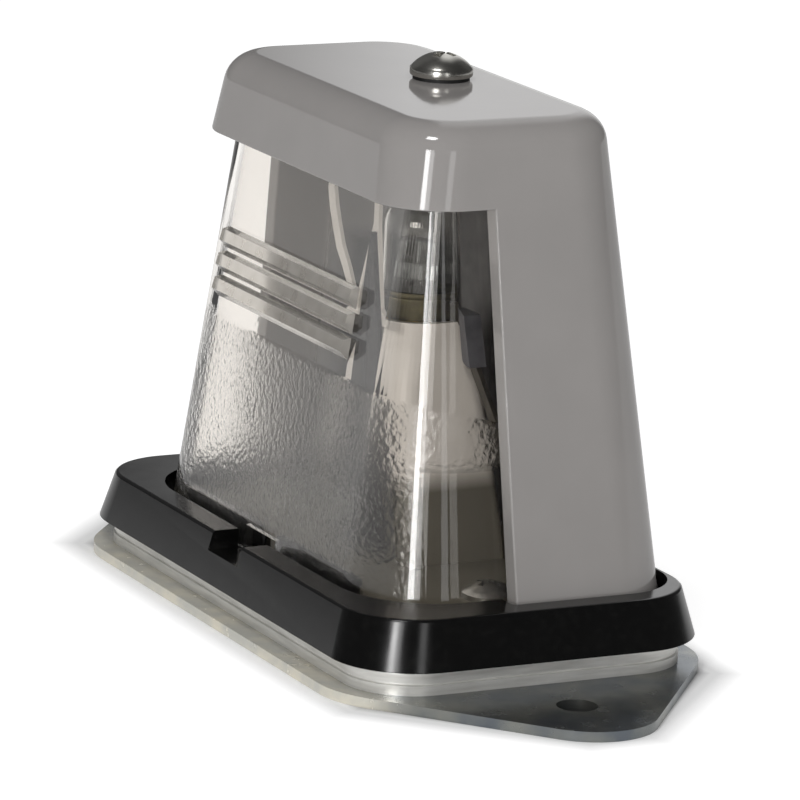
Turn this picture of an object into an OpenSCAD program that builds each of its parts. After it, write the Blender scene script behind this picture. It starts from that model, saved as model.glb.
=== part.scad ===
// Number plate lamp: zinc-plated base plate with two ears, pressed tray, black
// frame, clear lens, grey hood held by one screw, bulb, holder and contacts.
// Millimetres. Z is up from the underside of the plate, the lens faces -Y.

/* [Base plate] */
// Distance between the two ear holes
ear_spacing = 120; // [112:1:130]
// Diameter of each ear hole
ear_hole_d = 6; // [4:0.5:8]
// Radius of the round end of each ear
ear_end_r = 10.4; // [8:0.2:12]
// Metal between the ear hole's centre and the tip of the ear
ear_tip = 13; // [11:0.5:16]
// Thickness of the plate
plate_t = 1.5; // [1:0.1:3]
// How far the plate stands out past the foot of the frame
plate_margin = 1.2; // [0.4:0.1:3]
// Corner radius of the plate's body
plate_r = 14.5; // [8:0.5:18]
// Diameter of the cable hole in the plate
cable_hole_d = 11; // [9:0.5:13]
// Distance of the cable hole to the left of the middle
cable_x = 19.5; // [18:0.5:21]
// Distance of the cable hole behind the centre line
cable_y = 13.5; // [12.5:0.5:14]

/* [Tray] */
// Height of the tray's wall
tray_h = 3.9; // [3:0.1:6]
// Thickness of the tray's metal
tray_t = 1; // [0.6:0.1:1.5]
// How far the tray's wall lies inside the foot of the frame
tray_inset = 2.2; // [1:0.1:3]
// Corner radius of the tray
tray_r = 10; // [6:0.5:14]

/* [Frame] */
// Width of the frame at its foot
frame_w = 102.5; // [98:0.5:110]
// Depth of the frame at its foot, front to back
frame_d = 57.8; // [56:0.2:62]
// Height of the frame
frame_h = 7.3; // [6.5:0.1:10]
// How much the frame's wall leans in on each side over its height
frame_lean = 2; // [0.5:0.1:3]
// Corner radius of the frame
frame_r = 12; // [10:0.5:14]
// Undercut at the foot of the frame's wall
frame_undercut = 1; // [0.2:0.1:1.5]
// Room round the hood and the lens where they go down into the frame
seat_room = 1.2; // [0.4:0.1:1.6]
// Thickness of the frame's floor, under the hood and the lens
frame_floor = 2.8; // [2:0.1:3.5]
// Width of the drain notch at the front of the frame
notch_w = 10; // [6:0.5:14]
// Depth of the drain notch below the frame's top
notch_h = 2.9; // [2:0.1:3.5]
// Thickness of the lip that stands behind the lens
lip_t = 1.6; // [1:0.1:2.5]
// Height of that lip above the frame's top
lip_h = 0.6; // [0.2:0.1:2]
// Gap in the middle of the lip
lip_gap = 6; // [3:0.5:10]

/* [Hood] */
// Distance from each end of the frame to the hood's wall at the frame's top
hood_inset = 6.75; // [5.5:0.25:9]
// Width of the hood's top
hood_top_w = 68.2; // [60:0.5:76]
// From the centre line to the hood's front, at the frame
hood_front = 27; // [26:0.2:28]
// From the centre line to the hood's back, at the frame
hood_back = 25; // [23:0.2:26]
// From the centre line to the front of the hood's top
hood_top_front = 16.7; // [15:0.2:20]
// From the centre line to the back of the hood's top
hood_top_back = 18.1; // [16:0.2:20]
// Height of the hood's top above the frame
hood_h = 67.8; // [66:0.5:80]
// Wall of the hood
hood_wall = 3.1; // [2:0.1:3.5]
// Radius of the upright corners
hood_r = 10; // [8:0.5:12]
// Rounding of the edge round the top
hood_edge_r = 4; // [2:0.5:5]
// Height of the visor at the front
visor_h = 12.1; // [9:0.5:16]
// Where the side wall's front edge meets the visor, before the centre line
side_edge_top = 3.8; // [2:0.1:6]
// Where the side wall's front edge meets the frame, before the centre line
side_edge_foot = 2.1; // [1:0.1:4]
// Diameter of the boss round the screw, inside the hood
boss_d = 11; // [9:0.5:13]

/* [Lens] */
// Wall of the lens
lens_wall = 1.6; // [1.4:0.1:2.4]
// How far the lens lies behind the hood's front at the frame
lens_setback = 4.2; // [3.6:0.1:6]
// How far the lens lies behind the hood's front at the top
lens_top_setback = 5.2; // [4:0.1:6]
// Room between the lens and the inside of the hood
lens_room = 0.2; // [0.1:0.05:0.5]
// Radius of the lens's upright corners at the frame
lens_foot_r = 12; // [8:0.5:14]
// Radius of the lens's upright corners at the top
lens_top_r = 6; // [4:0.5:8]
// How far the lens's sides reach behind the centre line
lens_reach = 6; // [2:0.5:8]
// Thickness of the web at the top of the lens
lens_web_t = 2.2; // [1.5:0.1:3]
// Number of prism bars on the front of the lens
prism_n = 3; // [2:1:3]
// Height of one prism bar
prism_h = 3.2; // [2:0.1:3.4]
// Distance from one prism bar to the next
prism_pitch = 3.7; // [3.4:0.1:4]
// How far a prism bar stands out
prism_depth = 1.5; // [0.8:0.1:1.8]
// Height of the upper edge of the top prism bar above the frame
prism_top = 41.3; // [38:0.5:48]
// Left end of the prism bars from the centre line
prism_left = 26; // [20:0.5:26]
// Right end of the prism bars from the centre line
prism_right = 18; // [12:0.5:20]

/* [Cover screw] */
// Thread diameter of the cover screw
screw_d = 5; // [4:0.5:6]
// Diameter of its pan head
screw_head_d = 9.4; // [8:0.1:10.5]
// Height of its pan head
screw_head_h = 3.6; // [2.5:0.1:4]
// Length of its shank
screw_len = 16; // [14:0.5:17]
// Distance of the screw behind the centre line
screw_y = 5.3; // [4:0.1:6]
// Thickness of the sealing washer under the head
screw_seal_t = 0.5; // [0.3:0.1:1]

/* [Bracket] */
// Width of the bracket's strip
strap_w = 12; // [9:0.5:14]
// Thickness of the bracket's strip
strap_t = 1.5; // [1:0.1:2]
// Front face of the bracket's upright behind the centre line
strap_y = 12.2; // [11.8:0.1:13]
// Length of the bracket's foot behind the upright
strap_foot = 6.5; // [5.5:0.1:7]
// Diameter of the press nut under the bracket's tongue
nut_d = 9; // [8:0.2:9.6]
// Height of the press nut
nut_h = 4; // [3:0.2:4.4]

/* [Carrier] */
// Thickness of the carrier's floor
carrier_t = 1.6; // [1.2:0.1:2]
// From the hood's top down to the top of the pedestal
pedestal_drop = 35.5; // [33:0.5:45]
// Half width of the pedestal's top
pedestal_top = 8; // [7.5:0.1:9]
// Half width of the pedestal's foot
pedestal_foot = 13; // [11:0.5:13.5]
// Front face of the pedestal before the centre line
pedestal_front = 4.2; // [4.1:0.1:5]
// Back of the pedestal's top behind the centre line
pedestal_back = 9.2; // [8.8:0.1:10]
// Back of the pedestal's foot behind the centre line
pedestal_back_foot = 11.6; // [11:0.1:11.8]
// Wall of the pedestal
pedestal_wall = 1.6; // [1.2:0.1:2]

/* [Bulb] */
// Distance of the bulb's axis behind the centre line
bulb_y = 2.5; // [2:0.1:3]
// Diameter of the bulb's glass
glass_d = 8.6; // [7.5:0.1:8.8]
// Diameter of the bulb's cap
cap_d = 9; // [8.9:0.05:9.2]
// Length of the bulb's cap
cap_l = 14; // [12:0.5:15]
// Length of glass above the cap
glass_l = 14; // [12:0.5:14.5]
// Wall of the bulb's glass
glass_t = 0.5; // [0.4:0.05:0.8]
// How much of the cap shows above the holder
cap_shown = 4; // [3:0.5:6]
// Inner diameter of the holder's shell
shell_id = 9.6; // [9.5:0.05:9.8]
// Wall of the holder's shell
shell_t = 0.5; // [0.4:0.05:0.7]
// How far the holder shell reaches below the bulb's cap
shell_reach = 4; // [3:0.2:5]
// Thickness of the insulating washer under the holder shell
insulator_t = 1.2; // [0.8:0.1:2]

/* [Light shield] */
// Thickness of the dark blade before the bulb
blade_t = 0.8; // [0.5:0.1:1]
// Width of the blade at its foot
blade_w = 18; // [12:0.5:20]
// Height of the blade's tip above the pedestal's top
blade_rise = 15.8; // [12:0.2:18]
// Height above the frame where the blade stops getting wider
blade_bend_h = 10; // [5:0.5:20]
// Width of the pale rib along each edge of the blade
rib_w = 1.3; // [0.8:0.1:2]
// Thickness of the pale ribs
guard_t = 1; // [0.8:0.1:1.2]
// Width of the rib that runs up the middle
mast_w = 2.4; // [1.5:0.1:3]
// Distance of the outer ribs from the centre line, at the top
guard_x = 12.8; // [11:0.2:14]

/* [Contacts and fixings] */
// Width of the contact strip
strip_w = 2.6; // [2:0.2:3]
// Thickness of the contact strip
strip_t = 0.8; // [0.5:0.1:1]
// Distance of the contact strip's leg to the right of the middle
strip_x = 13.2; // [13:0.1:14.5]
// Distance of the contact strip's arm behind the centre line
strip_y = 3.6; // [3.2:0.1:4.4]
// How far the contact strip leans back inside the dark block
strip_lean = 2; // [0.5:0.1:2.5]
// Distance of the contact strip's foot behind the centre line
strip_foot_y = 12.2; // [12:0.1:14]
// Height of the dark block on the contact strip
block_h = 8; // [6:0.5:9]
// Width of the dark block
block_w = 5; // [4:0.2:5.4]
// Depth of the dark block
block_d = 2.8; // [2.4:0.2:4]
// Distance of each frame screw from the end of the carrier's floor
frame_screw_inset = 6.4; // [5.4:0.5:8.4]
// Diameter of the frame screws' heads
frame_screw_head = 8.4; // [7:0.2:9]
// Thread diameter of the frame screws
frame_screw_d = 4; // [3:0.5:5]
// Diameter of each rivet's shank
rivet_d = 3; // [2:0.5:4]
// Distance of each tray rivet from the end of the frame
rivet_inset = 9.25; // [8:0.25:11]
// Bore of the cable grommet
cord_bore = 6; // [4:0.5:7]

/* [Hidden] */
$fn = 64;

// Round corners inside one hull
hull_fn = 32;
// Room round a shank or a rivet in a clearance hole
hole_room = 0.3;
// Room between a part and the pocket that it lies in
fit_room = 0.3;
// Thickness of the slices that a tapered shell is drawn between
slice = 0.02;

tray_top = plate_t + tray_h;
frame_top = tray_top + frame_h;
floor_top = tray_top + frame_floor;
seal_t = 1.2;
seat_z = floor_top + seal_t;
hood_top = frame_top + hood_h;
visor_z = hood_top - visor_h;
carrier_top = floor_top + carrier_t;
pedestal_top_z = hood_top - pedestal_drop;
pedestal_h = pedestal_top_z - carrier_top;
boss_foot = hood_top - hood_wall - 3;
web_top = boss_foot;
web_foot = web_top - lens_web_t;
strap_top = web_foot;
lens_hood_gap = hood_wall + lens_room;
ear_x = ear_spacing / 2;
ear_circle_x = ear_x + ear_tip - ear_end_r;
hood_w = frame_w - 2 * hood_inset;
plate_hx = frame_w / 2 + plate_margin;
plate_hy = frame_d / 2 + plate_margin;
cap_top_z = pedestal_top_z + cap_shown;
cap_foot_z = cap_top_z - cap_l;
blade_y = -pedestal_front - blade_t;
blade_tip = pedestal_top_z + blade_rise;
blade_bend = frame_top + blade_bend_h;
shoulder_z = cap_foot_z - shell_reach - insulator_t;
contact_foot = shoulder_z - 1.8;
wire_d = 0.35;
arm_z = pedestal_top_z + 0.2;
block_z = pedestal_top_z - 4.8;
leg_bend = pedestal_top_z - 21;
upright_back = strap_y + strap_t;
foot_rivet_y = upright_back + strap_foot / 2 + 0.6;
carrier_x = hood_w / 2 - lens_hood_gap - lens_wall - 2.2;
frame_screw_x = carrier_x - frame_screw_inset;
rivet_x = frame_w / 2 - rivet_inset;
carrier_front = hood_front - lens_setback - lens_wall - fit_room - lip_t - 0.6;
carrier_back = hood_back - hood_wall - 1.2;

// Share of the way up from the frame's top to the hood's top
function rise(z) = (z - frame_top) / hood_h;
function blend(a, b, z) = a + (b - a) * rise(z);
function hood_x(z) = blend(hood_w, hood_top_w, z) / 2;
function hood_yf(z) = blend(hood_front, hood_top_front, z);
function hood_yb(z) = blend(hood_back, hood_top_back, z);
function lens_x(z) = hood_x(z) - lens_hood_gap;
function lens_yf(z) = hood_yf(z) - blend(lens_setback, lens_top_setback, z);
function lens_r(z) = blend(lens_foot_r, lens_top_r, z);
function lens_yb(z) = hood_yb(z) - lens_hood_gap;

// Flat outline with round corners, from -yf to yb
module rounded(hx, yf, yb, r) {
    translate([-hx + r, -yf]) square([2 * (hx - r), yf + yb]);
    translate([-hx, -yf + r]) square([2 * hx, yf + yb - 2 * r]);
    for (sx = [-1, 1])
        for (y = [-yf + r, yb - r])
            translate([sx * (hx - r), y]) circle(r = r);
}

// One thin slice of a tapered shell
module slab(z, hx, yf, yb, r) {
    translate([0, 0, z]) linear_extrude(slice) rounded(hx, yf, yb, r, $fn = hull_fn);
}

// Slice of the hood's outline at height z, moved in by an inset
module hood_slab(z, inset) {
    slab(z, hood_x(z) - inset, hood_yf(z) - inset, hood_yb(z) - inset,
        max(hood_r - inset, 1));
}

// Slice of the lens's outline at height z, moved in by an inset
module lens_slab(z, inset) {
    slab(z, lens_x(z) - inset, lens_yf(z) - inset, lens_yb(z) - inset,
        max(lens_r(z) - inset, 1));
}

// Slice of the frame's wall at height z
module frame_slab(z, lean) {
    slab(z, frame_w / 2 - lean, frame_d / 2 - lean, frame_d / 2 - lean, frame_r - lean / 2);
}

// Part of the plate's outline that tapers to the right ear
module ear_outline() {
    corner_x = plate_hx - plate_r;
    corner_y = plate_hy - plate_r;
    span = norm([ear_circle_x - corner_x, corner_y]);
    tilt = atan2(corner_y, ear_circle_x - corner_x) + asin((plate_r - ear_end_r) / span);
    n = [sin(tilt), cos(tilt)];
    tip = [ear_circle_x, 0] + ear_end_r * n;
    root = [corner_x, corner_y] + plate_r * n;
    polygon([[corner_x - 1, 0], [corner_x - 1, -root[1]], [root[0], -root[1]],
        [tip[0], -tip[1]], [tip[0], tip[1]], [root[0], root[1]],
        [corner_x - 1, root[1]]]);
    translate([ear_circle_x, 0]) circle(r = ear_end_r);
}

// Pan head with its shank below, standing on z = 0
module pan_screw(d, head_d, head_h, len) {
    edge = 0.35 * head_h;
    translate([0, 0, -len]) cylinder(d = d, h = len);
    intersection() {
        cylinder(d = head_d, h = head_h);
        translate([0, 0, head_h - dome_r(head_d, head_h - edge)])
            sphere(r = dome_r(head_d, head_h - edge));
    }
}

// Radius of the ball that domes a head of this diameter by this much
function dome_r(head_d, dome) = (head_d * head_d / 4 + dome * dome) / (2 * dome);

// Cross recess, cut down from z = 0
module cross_recess(size, depth) {
    for (a = [0, 90])
        rotate([0, 0, a + 30])
            translate([-size / 2, -size / 10, -depth]) cube([size, size / 5, depth + 1]);
    translate([0, 0, -depth]) cylinder(d = size / 2.2, h = depth + 1);
}

module base_plate() {
    color("slategray") difference() {
        linear_extrude(plate_t) {
            rounded(plate_hx, plate_hy, plate_hy, plate_r);
            ear_outline();
            mirror([1, 0]) ear_outline();
        }
        for (sx = [-1, 1]) {
            translate([sx * ear_x, 0, -1]) cylinder(d = ear_hole_d, h = plate_t + 2);
            translate([sx * rivet_x, 0, -1])
                cylinder(d = rivet_d + hole_room, h = plate_t + 2);
            translate([sx * rivet_x, 0, -1])
                cylinder(d = rivet_d + 3 + hole_room, h = 1 + plate_t / 2);
            translate([sx * frame_screw_x, 0, -1])
                cylinder(d = frame_screw_d + 2 * hole_room, h = plate_t + 2);
        }
        translate([-cable_x, cable_y, -1]) cylinder(d = cable_hole_d, h = plate_t + 2);
    }
}

module base_tray() {
    hx = frame_w / 2 - tray_inset;
    hy = frame_d / 2 - tray_inset;
    color("gainsboro") difference() {
        translate([0, 0, plate_t]) linear_extrude(tray_h) rounded(hx, hy, hy, tray_r);
        translate([0, 0, plate_t - 1]) linear_extrude(tray_h - tray_t + 1)
            difference() {
                rounded(hx - tray_t, hy - tray_t, hy - tray_t, tray_r - tray_t);
                for (sx = [-1, 1]) {
                    translate([sx * rivet_x, 0]) circle(d = rivet_d + 6);
                    translate([sx * frame_screw_x, 0]) circle(d = frame_screw_d + 5);
                }
            }
        for (sx = [-1, 1]) {
            translate([sx * rivet_x, 0, 0]) cylinder(d = rivet_d + hole_room, h = tray_top + 1);
            translate([sx * rivet_x, 0, tray_top - tray_t])
                cylinder(d = rivet_d + 4, h = tray_t + 1);
            translate([sx * frame_screw_x, 0, 0])
                cylinder(d = frame_screw_d, h = tray_top + 1);
        }
        translate([-cable_x, cable_y, 0]) cylinder(d = cable_hole_d, h = tray_top + 1);
    }
}

// Rivets that hold the tray to the plate
module tray_rivets() {
    seat = tray_top - tray_t;
    foot = 0.1;
    color("silver") for (sx = [-1, 1]) translate([sx * rivet_x, 0, 0]) {
        translate([0, 0, foot]) cylinder(d = rivet_d, h = seat - foot);
        translate([0, 0, seat]) cylinder(d = rivet_d + 3, h = tray_t - 0.1);
        translate([0, 0, foot]) cylinder(d = rivet_d + 3, h = plate_t / 2 - foot);
    }
}

// Outline of the pocket that the lens's front and the hood's walls go down into
module seat(extra) {
    x = hood_x(frame_top) + extra;
    rounded(lens_x(frame_top) + extra, lens_yf(frame_top) + extra, lens_foot_r,
        lens_foot_r);
    rounded(x, side_edge_foot + extra, hood_r, 1);
    rounded(x, 0, hood_back + extra, hood_r);
}

module base_frame() {
    lip_x = lens_x(frame_top) - lens_wall - lens_foot_r + 3;
    lip_y = lens_yf(frame_top) - lens_wall - fit_room;
    color([0.05, 0.05, 0.055]) {
        difference() {
            frame_body();
            translate([0, 0, floor_top]) linear_extrude(frame_h) seat(seat_room);
            translate([0, 0, tray_top - 1]) linear_extrude(frame_h)
                rounded(frame_screw_x - 6, carrier_front - 3, carrier_back - 0.5, 4);
            translate([-cable_x, cable_y, tray_top - 1])
                cylinder(d = cable_hole_d + 2 + 2 * hole_room, h = frame_h);
            translate([-notch_w / 2, -frame_d, frame_top - notch_h])
                cube([notch_w, frame_d - lens_yf(frame_top), notch_h + 1]);
            for (sx = [-1, 1])
                translate([sx * frame_screw_x, 0, tray_top - 1])
                    cylinder(d = frame_screw_d + 2 * hole_room, h = frame_h);
        }
        for (sx = [-1, 1])
            translate([sx > 0 ? lip_gap / 2 : -lip_x, -lip_y, floor_top - 0.5])
                cube([lip_x - lip_gap / 2, lip_t, frame_top + lip_h - floor_top + 0.5]);
    }
}

// Solid of the frame's outer wall
module frame_body() {
    hull() {
        frame_slab(tray_top, frame_undercut);
        frame_slab(tray_top + frame_undercut, 0);
        frame_slab(frame_top - slice, frame_lean);
    }
}

// Flat seal on the frame's floor, under the lens and the hood
module lens_seal() {
    color([0.12, 0.12, 0.12]) translate([0, 0, floor_top]) linear_extrude(seal_t)
        difference() {
            seat(0.5);
            rounded(lens_x(frame_top) - lens_wall - 0.2, lens_yf(frame_top) - lens_wall - 0.1,
                hood_back - hood_wall - 0.4, lens_foot_r - lens_wall);
        }
}

// One moulding: floor, hollow pedestal and the ribs that stand before the bulb
module carrier() {
    color("cornsilk") {
        difference() {
            union() {
                translate([0, 0, floor_top]) linear_extrude(carrier_t)
                    rounded(carrier_x, carrier_front, carrier_back, 5);
                hull() {
                    slab(carrier_top - slice, pedestal_foot, pedestal_front,
                        pedestal_back_foot, 1.5);
                    slab(pedestal_top_z - slice, pedestal_top, pedestal_front,
                        pedestal_back, 1.5);
                }
            }
            hull() {
                slab(floor_top - 1, pedestal_foot - pedestal_wall,
                    pedestal_front - pedestal_wall, pedestal_back_foot - pedestal_wall, 1);
                slab(shoulder_z - 1.8, pedestal_top - pedestal_wall + 1,
                    pedestal_front - pedestal_wall, pedestal_back - pedestal_wall, 1);
            }
            translate([0, bulb_y, floor_top]) cylinder(d = shell_id - 1.6, h = pedestal_h);
            translate([0, bulb_y, shoulder_z])
                cylinder(d = shell_id + 2 * shell_t + 0.1, h = pedestal_h);
            for (sx = [-1, 1]) translate([sx * frame_screw_x, 0, floor_top - 1])
                cylinder(d = frame_screw_d + 2 * hole_room, h = carrier_t + 2);
            for (sx = [-1, 1]) translate([sx * strap_w / 4, foot_rivet_y, floor_top - 1])
                cylinder(d = rivet_d - 0.6, h = carrier_t + 2);
            translate([0, -pedestal_front - 1, carrier_top + 6]) rotate([-90, 0, 0])
                cylinder(d = rivet_d - 0.1, h = pedestal_wall + 2);
            translate([-cable_x, cable_y, floor_top - 1])
                cylinder(d = cord_bore, h = carrier_t + 2);
        }
        translate([0, guard_t - pedestal_front, 0]) rotate([90, 0, 0])
            linear_extrude(guard_t) guard_outline();
    }
}

// Half width of the dark blade at height z
function blade_x(z) = blade_w / 2 * (blade_tip - z) / (blade_tip - blade_bend);

// Ribs seen from the front: a forked mast and a bowed rib on each side
module guard_outline() {
    foot = pedestal_top_z - 0.5;
    fork = pedestal_top_z + 2;
    top = web_foot - 0.1;
    translate([-mast_w / 2, blade_tip - 3]) square([mast_w, top - blade_tip + 3]);
    translate([-guard_x - rib_w, top - rib_w]) square([2 * (guard_x + rib_w), rib_w]);
    for (sx = [0, 1]) mirror([sx, 0]) {
        polygon([[0, blade_tip], [blade_x(fork), fork], [blade_x(fork), foot],
            [pedestal_top - 0.5, foot], [blade_x(fork) + rib_w, fork], [mast_w / 2, blade_tip],
            [0, blade_tip + 1]]);
        polygon([[blade_x(fork) + rib_w - 0.3, fork - 1], [guard_x - 5.6, fork + 4.2],
            [guard_x - 1.8, fork + 10], [guard_x, fork + 15], [guard_x, top],
            [guard_x + rib_w, top], [guard_x + 2.1, fork + 14.5],
            [guard_x + 0.3, fork + 9.3], [guard_x - 3.6, fork + 3.6],
            [blade_x(fork) + rib_w + 0.6, fork - 2]]);
    }
}

module frame_screws() {
    color("silver") for (sx = [-1, 1]) translate([sx * frame_screw_x, 0, carrier_top])
        difference() {
            pan_screw(frame_screw_d, frame_screw_head, 2.4, carrier_top - plate_t - 0.5);
            translate([0, 0, 2.4]) cross_recess(4, 1.2);
        }
}

module lens() {
    web_hole = screw_d + 1;
    color([0.9, 0.93, 0.95, 0.4]) {
        difference() {
            hull() {
                lens_slab(seat_z, 0);
                lens_slab(web_top - slice, 0);
            }
            hull() {
                lens_slab(seat_z - 1, lens_wall);
                lens_slab(web_foot - slice, lens_wall);
            }
            translate([-hood_w, lens_reach, 0]) cube([2 * hood_w, hood_w, web_foot]);
            translate([-hood_w, strap_y - 1, web_foot - 1])
                cube([2 * hood_w, hood_w, lens_web_t + 2]);
            translate([0, screw_y, web_foot - 1]) cylinder(d = web_hole, h = lens_web_t + 2);
        }
        prism_bars();
    }
}

// Bars with a slanted top and a short underside on the lens's front
module prism_bars() {
    lean = atan2(lens_yf(frame_top) - lens_yf(hood_top), hood_h);
    for (i = [0:prism_n - 1]) {
        z = frame_top + prism_top - i * prism_pitch;
        translate([(prism_right - prism_left) / 2, -lens_yf(z), z])
            rotate([-lean, 0, 0]) prism_bar(prism_left + prism_right);
    }
}

// One bar with chamfered ends, its upper edge at the origin
module prism_bar(len) {
    rotate([0, 90, 0]) linear_extrude(len, center = true) polygon([[0, 0.4],
        [prism_depth * 0.4, -prism_depth * 0.75], [prism_h * 0.55, -prism_depth],
        [prism_h, -0.2], [prism_h, 0.4]]);
}

module hood() {
    hole_d = screw_d + 0.5;
    color([0.62, 0.61, 0.59]) difference() {
        union() {
            difference() {
                hull() {
                    hood_slab(seat_z, 0);
                    hood_slab(hood_top - hood_edge_r, 0);
                    for (a = [22.5:22.5:90])
                        hood_slab(hood_top - hood_edge_r * (1 - sin(a)) - slice,
                            hood_edge_r * (1 - cos(a)));
                }
                hull() {
                    hood_slab(seat_z - 1, hood_wall);
                    hood_slab(hood_top - hood_wall - slice, hood_wall);
                }
            }
            translate([0, screw_y, boss_foot])
                cylinder(d = boss_d, h = hood_top - boss_foot - 1);
        }
        open_front();
        translate([0, screw_y, boss_foot - 1]) cylinder(d = hole_d, h = hood_h);
    }
}

// Space before the side walls and below the visor
module open_front() {
    dz = visor_z - frame_top;
    foot_y = -side_edge_foot - (side_edge_foot - side_edge_top) * 6 / dz;
    rotate([90, 0, 90]) linear_extrude(2 * hood_w, center = true) polygon([
        [-2 * hood_front, frame_top - 6], [foot_y, frame_top - 6],
        [-side_edge_top, visor_z], [-2 * hood_front, visor_z]]);
}

module screw_seal() {
    color([0.1, 0.1, 0.1]) translate([0, screw_y, hood_top]) difference() {
        cylinder(d = screw_head_d - 0.9, h = screw_seal_t);
        translate([0, 0, -1]) cylinder(d = screw_d + 0.1, h = screw_seal_t + 2);
    }
}

module cover_screw() {
    z = hood_top + screw_seal_t;
    color("silver") translate([0, screw_y, z]) difference() {
        pan_screw(screw_d, screw_head_d, screw_head_h, screw_len);
        translate([0, 0, screw_head_h]) cross_recess(screw_head_d * 0.56, screw_head_h * 0.6);
    }
}

// Strip that stands behind the bulb and reaches forward under the lens's web
module cover_bracket() {
    tongue = strap_y + strap_t - screw_y + nut_d / 2 + 1;
    color("dimgray") difference() {
        union() {
            translate([-strap_w / 2, strap_y, carrier_top])
                cube([strap_w, strap_t, strap_top - carrier_top]);
            translate([-strap_w / 2, strap_y, carrier_top])
                cube([strap_w, strap_t + strap_foot, strap_t]);
            translate([-strap_w / 2, strap_y + strap_t - tongue, strap_top - strap_t])
                cube([strap_w, tongue, strap_t]);
        }
        translate([0, screw_y, strap_top - strap_t - 1])
            cylinder(d = screw_d + hole_room, h = strap_t + 2);
        for (sx = [-1, 1]) translate([sx * strap_w / 4, foot_rivet_y, carrier_top - 1])
            cylinder(d = rivet_d - 0.6, h = strap_t + 2);
        translate([-cable_x, cable_y, carrier_top - 1]) cylinder(d = cord_bore, h = strap_t + 2);
    }
}

module cover_nut() {
    color("silver") translate([0, screw_y, strap_top - strap_t - nut_h]) difference() {
        cylinder(d = nut_d, h = nut_h, $fn = 6);
        translate([0, 0, -1]) cylinder(d = screw_d, h = nut_h + 2);
    }
}

module bracket_rivets() {
    head = 0.8;
    color("silver") for (sx = [-1, 1])
        translate([sx * strap_w / 4, foot_rivet_y, carrier_top + strap_t]) {
            cylinder(d = rivet_d + 0.8, h = head);
            translate([0, 0, -strap_t - carrier_t - head])
                cylinder(d = rivet_d - 0.6, h = strap_t + carrier_t + head);
            translate([0, 0, -strap_t - carrier_t - head])
                cylinder(d = rivet_d + 0.8, h = head);
        }
}

// Bayonet shell with two slots, pressed into the pedestal
module holder_shell() {
    z0 = cap_foot_z - shell_reach;
    od = shell_id + 2 * shell_t;
    color("goldenrod") translate([0, bulb_y, 0]) difference() {
        translate([0, 0, z0]) cylinder(d = od, h = pedestal_top_z - z0);
        translate([0, 0, z0 - 1]) cylinder(d = shell_id, h = pedestal_top_z - z0 + 2);
        translate([-od, -1.1, pedestal_top_z - 6]) cube([2 * od, 2.2, 7]);
    }
}

module holder_insulator() {
    color("saddlebrown") translate([0, bulb_y, shoulder_z]) difference() {
        cylinder(d = shell_id + 2 * shell_t, h = insulator_t);
        translate([0, 0, -1]) cylinder(d = 2.4, h = insulator_t + 2);
    }
}

module centre_contact() {
    color("gold") translate([0, bulb_y, 0]) {
        translate([0, 0, cap_foot_z - 1.8]) cylinder(d = 5, h = 1);
        translate([0, 0, contact_foot]) cylinder(d = 2, h = cap_foot_z - contact_foot - 1.5);
    }
}

// Coil between the insulator and the head of the centre contact
module contact_spring() {
    turns = 2;
    per_turn = 16;
    sides = 8;
    coil_r = 1.9;
    z0 = shoulder_z + insulator_t + wire_d;
    z1 = cap_foot_z - 1.8 - wire_d;
    n = turns * per_turn;
    points = [for (i = [0:n], k = [0:sides - 1])
        let (a = 360 * i / per_turn, b = 360 * k / sides,
            r = coil_r + 0.3 * cos(b), z = z0 + (z1 - z0) * i / n + 0.3 * sin(b))
        [r * cos(a), r * sin(a), z]];
    walls = [for (i = [0:n - 1], k = [0:sides - 1], half = [0, 1])
        let (p = i * sides + k, q = i * sides + (k + 1) % sides)
        half == 0 ? [p, p + sides, q + sides] : [p, q + sides, q]];
    start = [for (k = [0:sides - 1]) k];
    end = [for (k = [sides - 1:-1:0]) n * sides + k];
    color("silver") translate([0, bulb_y, 0])
        polyhedron(points, concat([start], walls, [end]));
}

module bulb_cap() {
    pin_z = pedestal_top_z - 4;
    color([0.5, 0.45, 0.33]) translate([0, bulb_y, 0]) {
        difference() {
            translate([0, 0, cap_foot_z]) cylinder(d = cap_d, h = cap_l);
            translate([0, 0, cap_top_z - 2]) cylinder(d = glass_d + 0.05, h = 3);
        }
        for (sx = [-1, 1]) translate([sx * (cap_d / 2 - 0.3), 0, pin_z])
            rotate([0, sx * 90, 0]) cylinder(d = 1.6, h = 1);
    }
}

module bulb_solder() {
    color("lightgray") translate([0, bulb_y, cap_foot_z - 0.8]) cylinder(d = 4, h = 0.8);
}

// Thin glass with a domed top
module bulb_glass() {
    color([0.9, 0.93, 0.95, 0.35]) translate([0, bulb_y, cap_top_z - 2])
        rotate_extrude() difference() {
            glass_profile(glass_d / 2, glass_l + 2);
            translate([0, glass_t]) glass_profile(glass_d / 2 - glass_t, glass_l + 2 - 2 * glass_t);
        }
}

// Half outline of a round-topped tube
module glass_profile(r, h) {
    square([r, h - r]);
    intersection() {
        translate([0, h - r]) circle(r = r);
        square([r, h]);
    }
}

// Pinched glass foot inside the bulb, with its two support wires
module bulb_stem() {
    z = cap_top_z - 2 + glass_t;
    color([0.85, 0.88, 0.9]) translate([0, bulb_y, z]) {
        cylinder(d = 4.5, h = 2.6);
        translate([-1.7, -0.7, 2]) cube([3.4, 1.4, 3.2]);
        for (sx = [-1, 1]) translate([sx * 1.2, 0, 4]) cylinder(d = wire_d, h = 5, $fn = 16);
    }
}

module filament() {
    z = cap_top_z - 2 + glass_t + 9 - wire_d / 2;
    color("gray") translate([0, bulb_y, z]) rotate([0, 90, 0])
        cylinder(d = 0.7, h = 2.4 - wire_d, center = true, $fn = 16);
}

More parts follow.
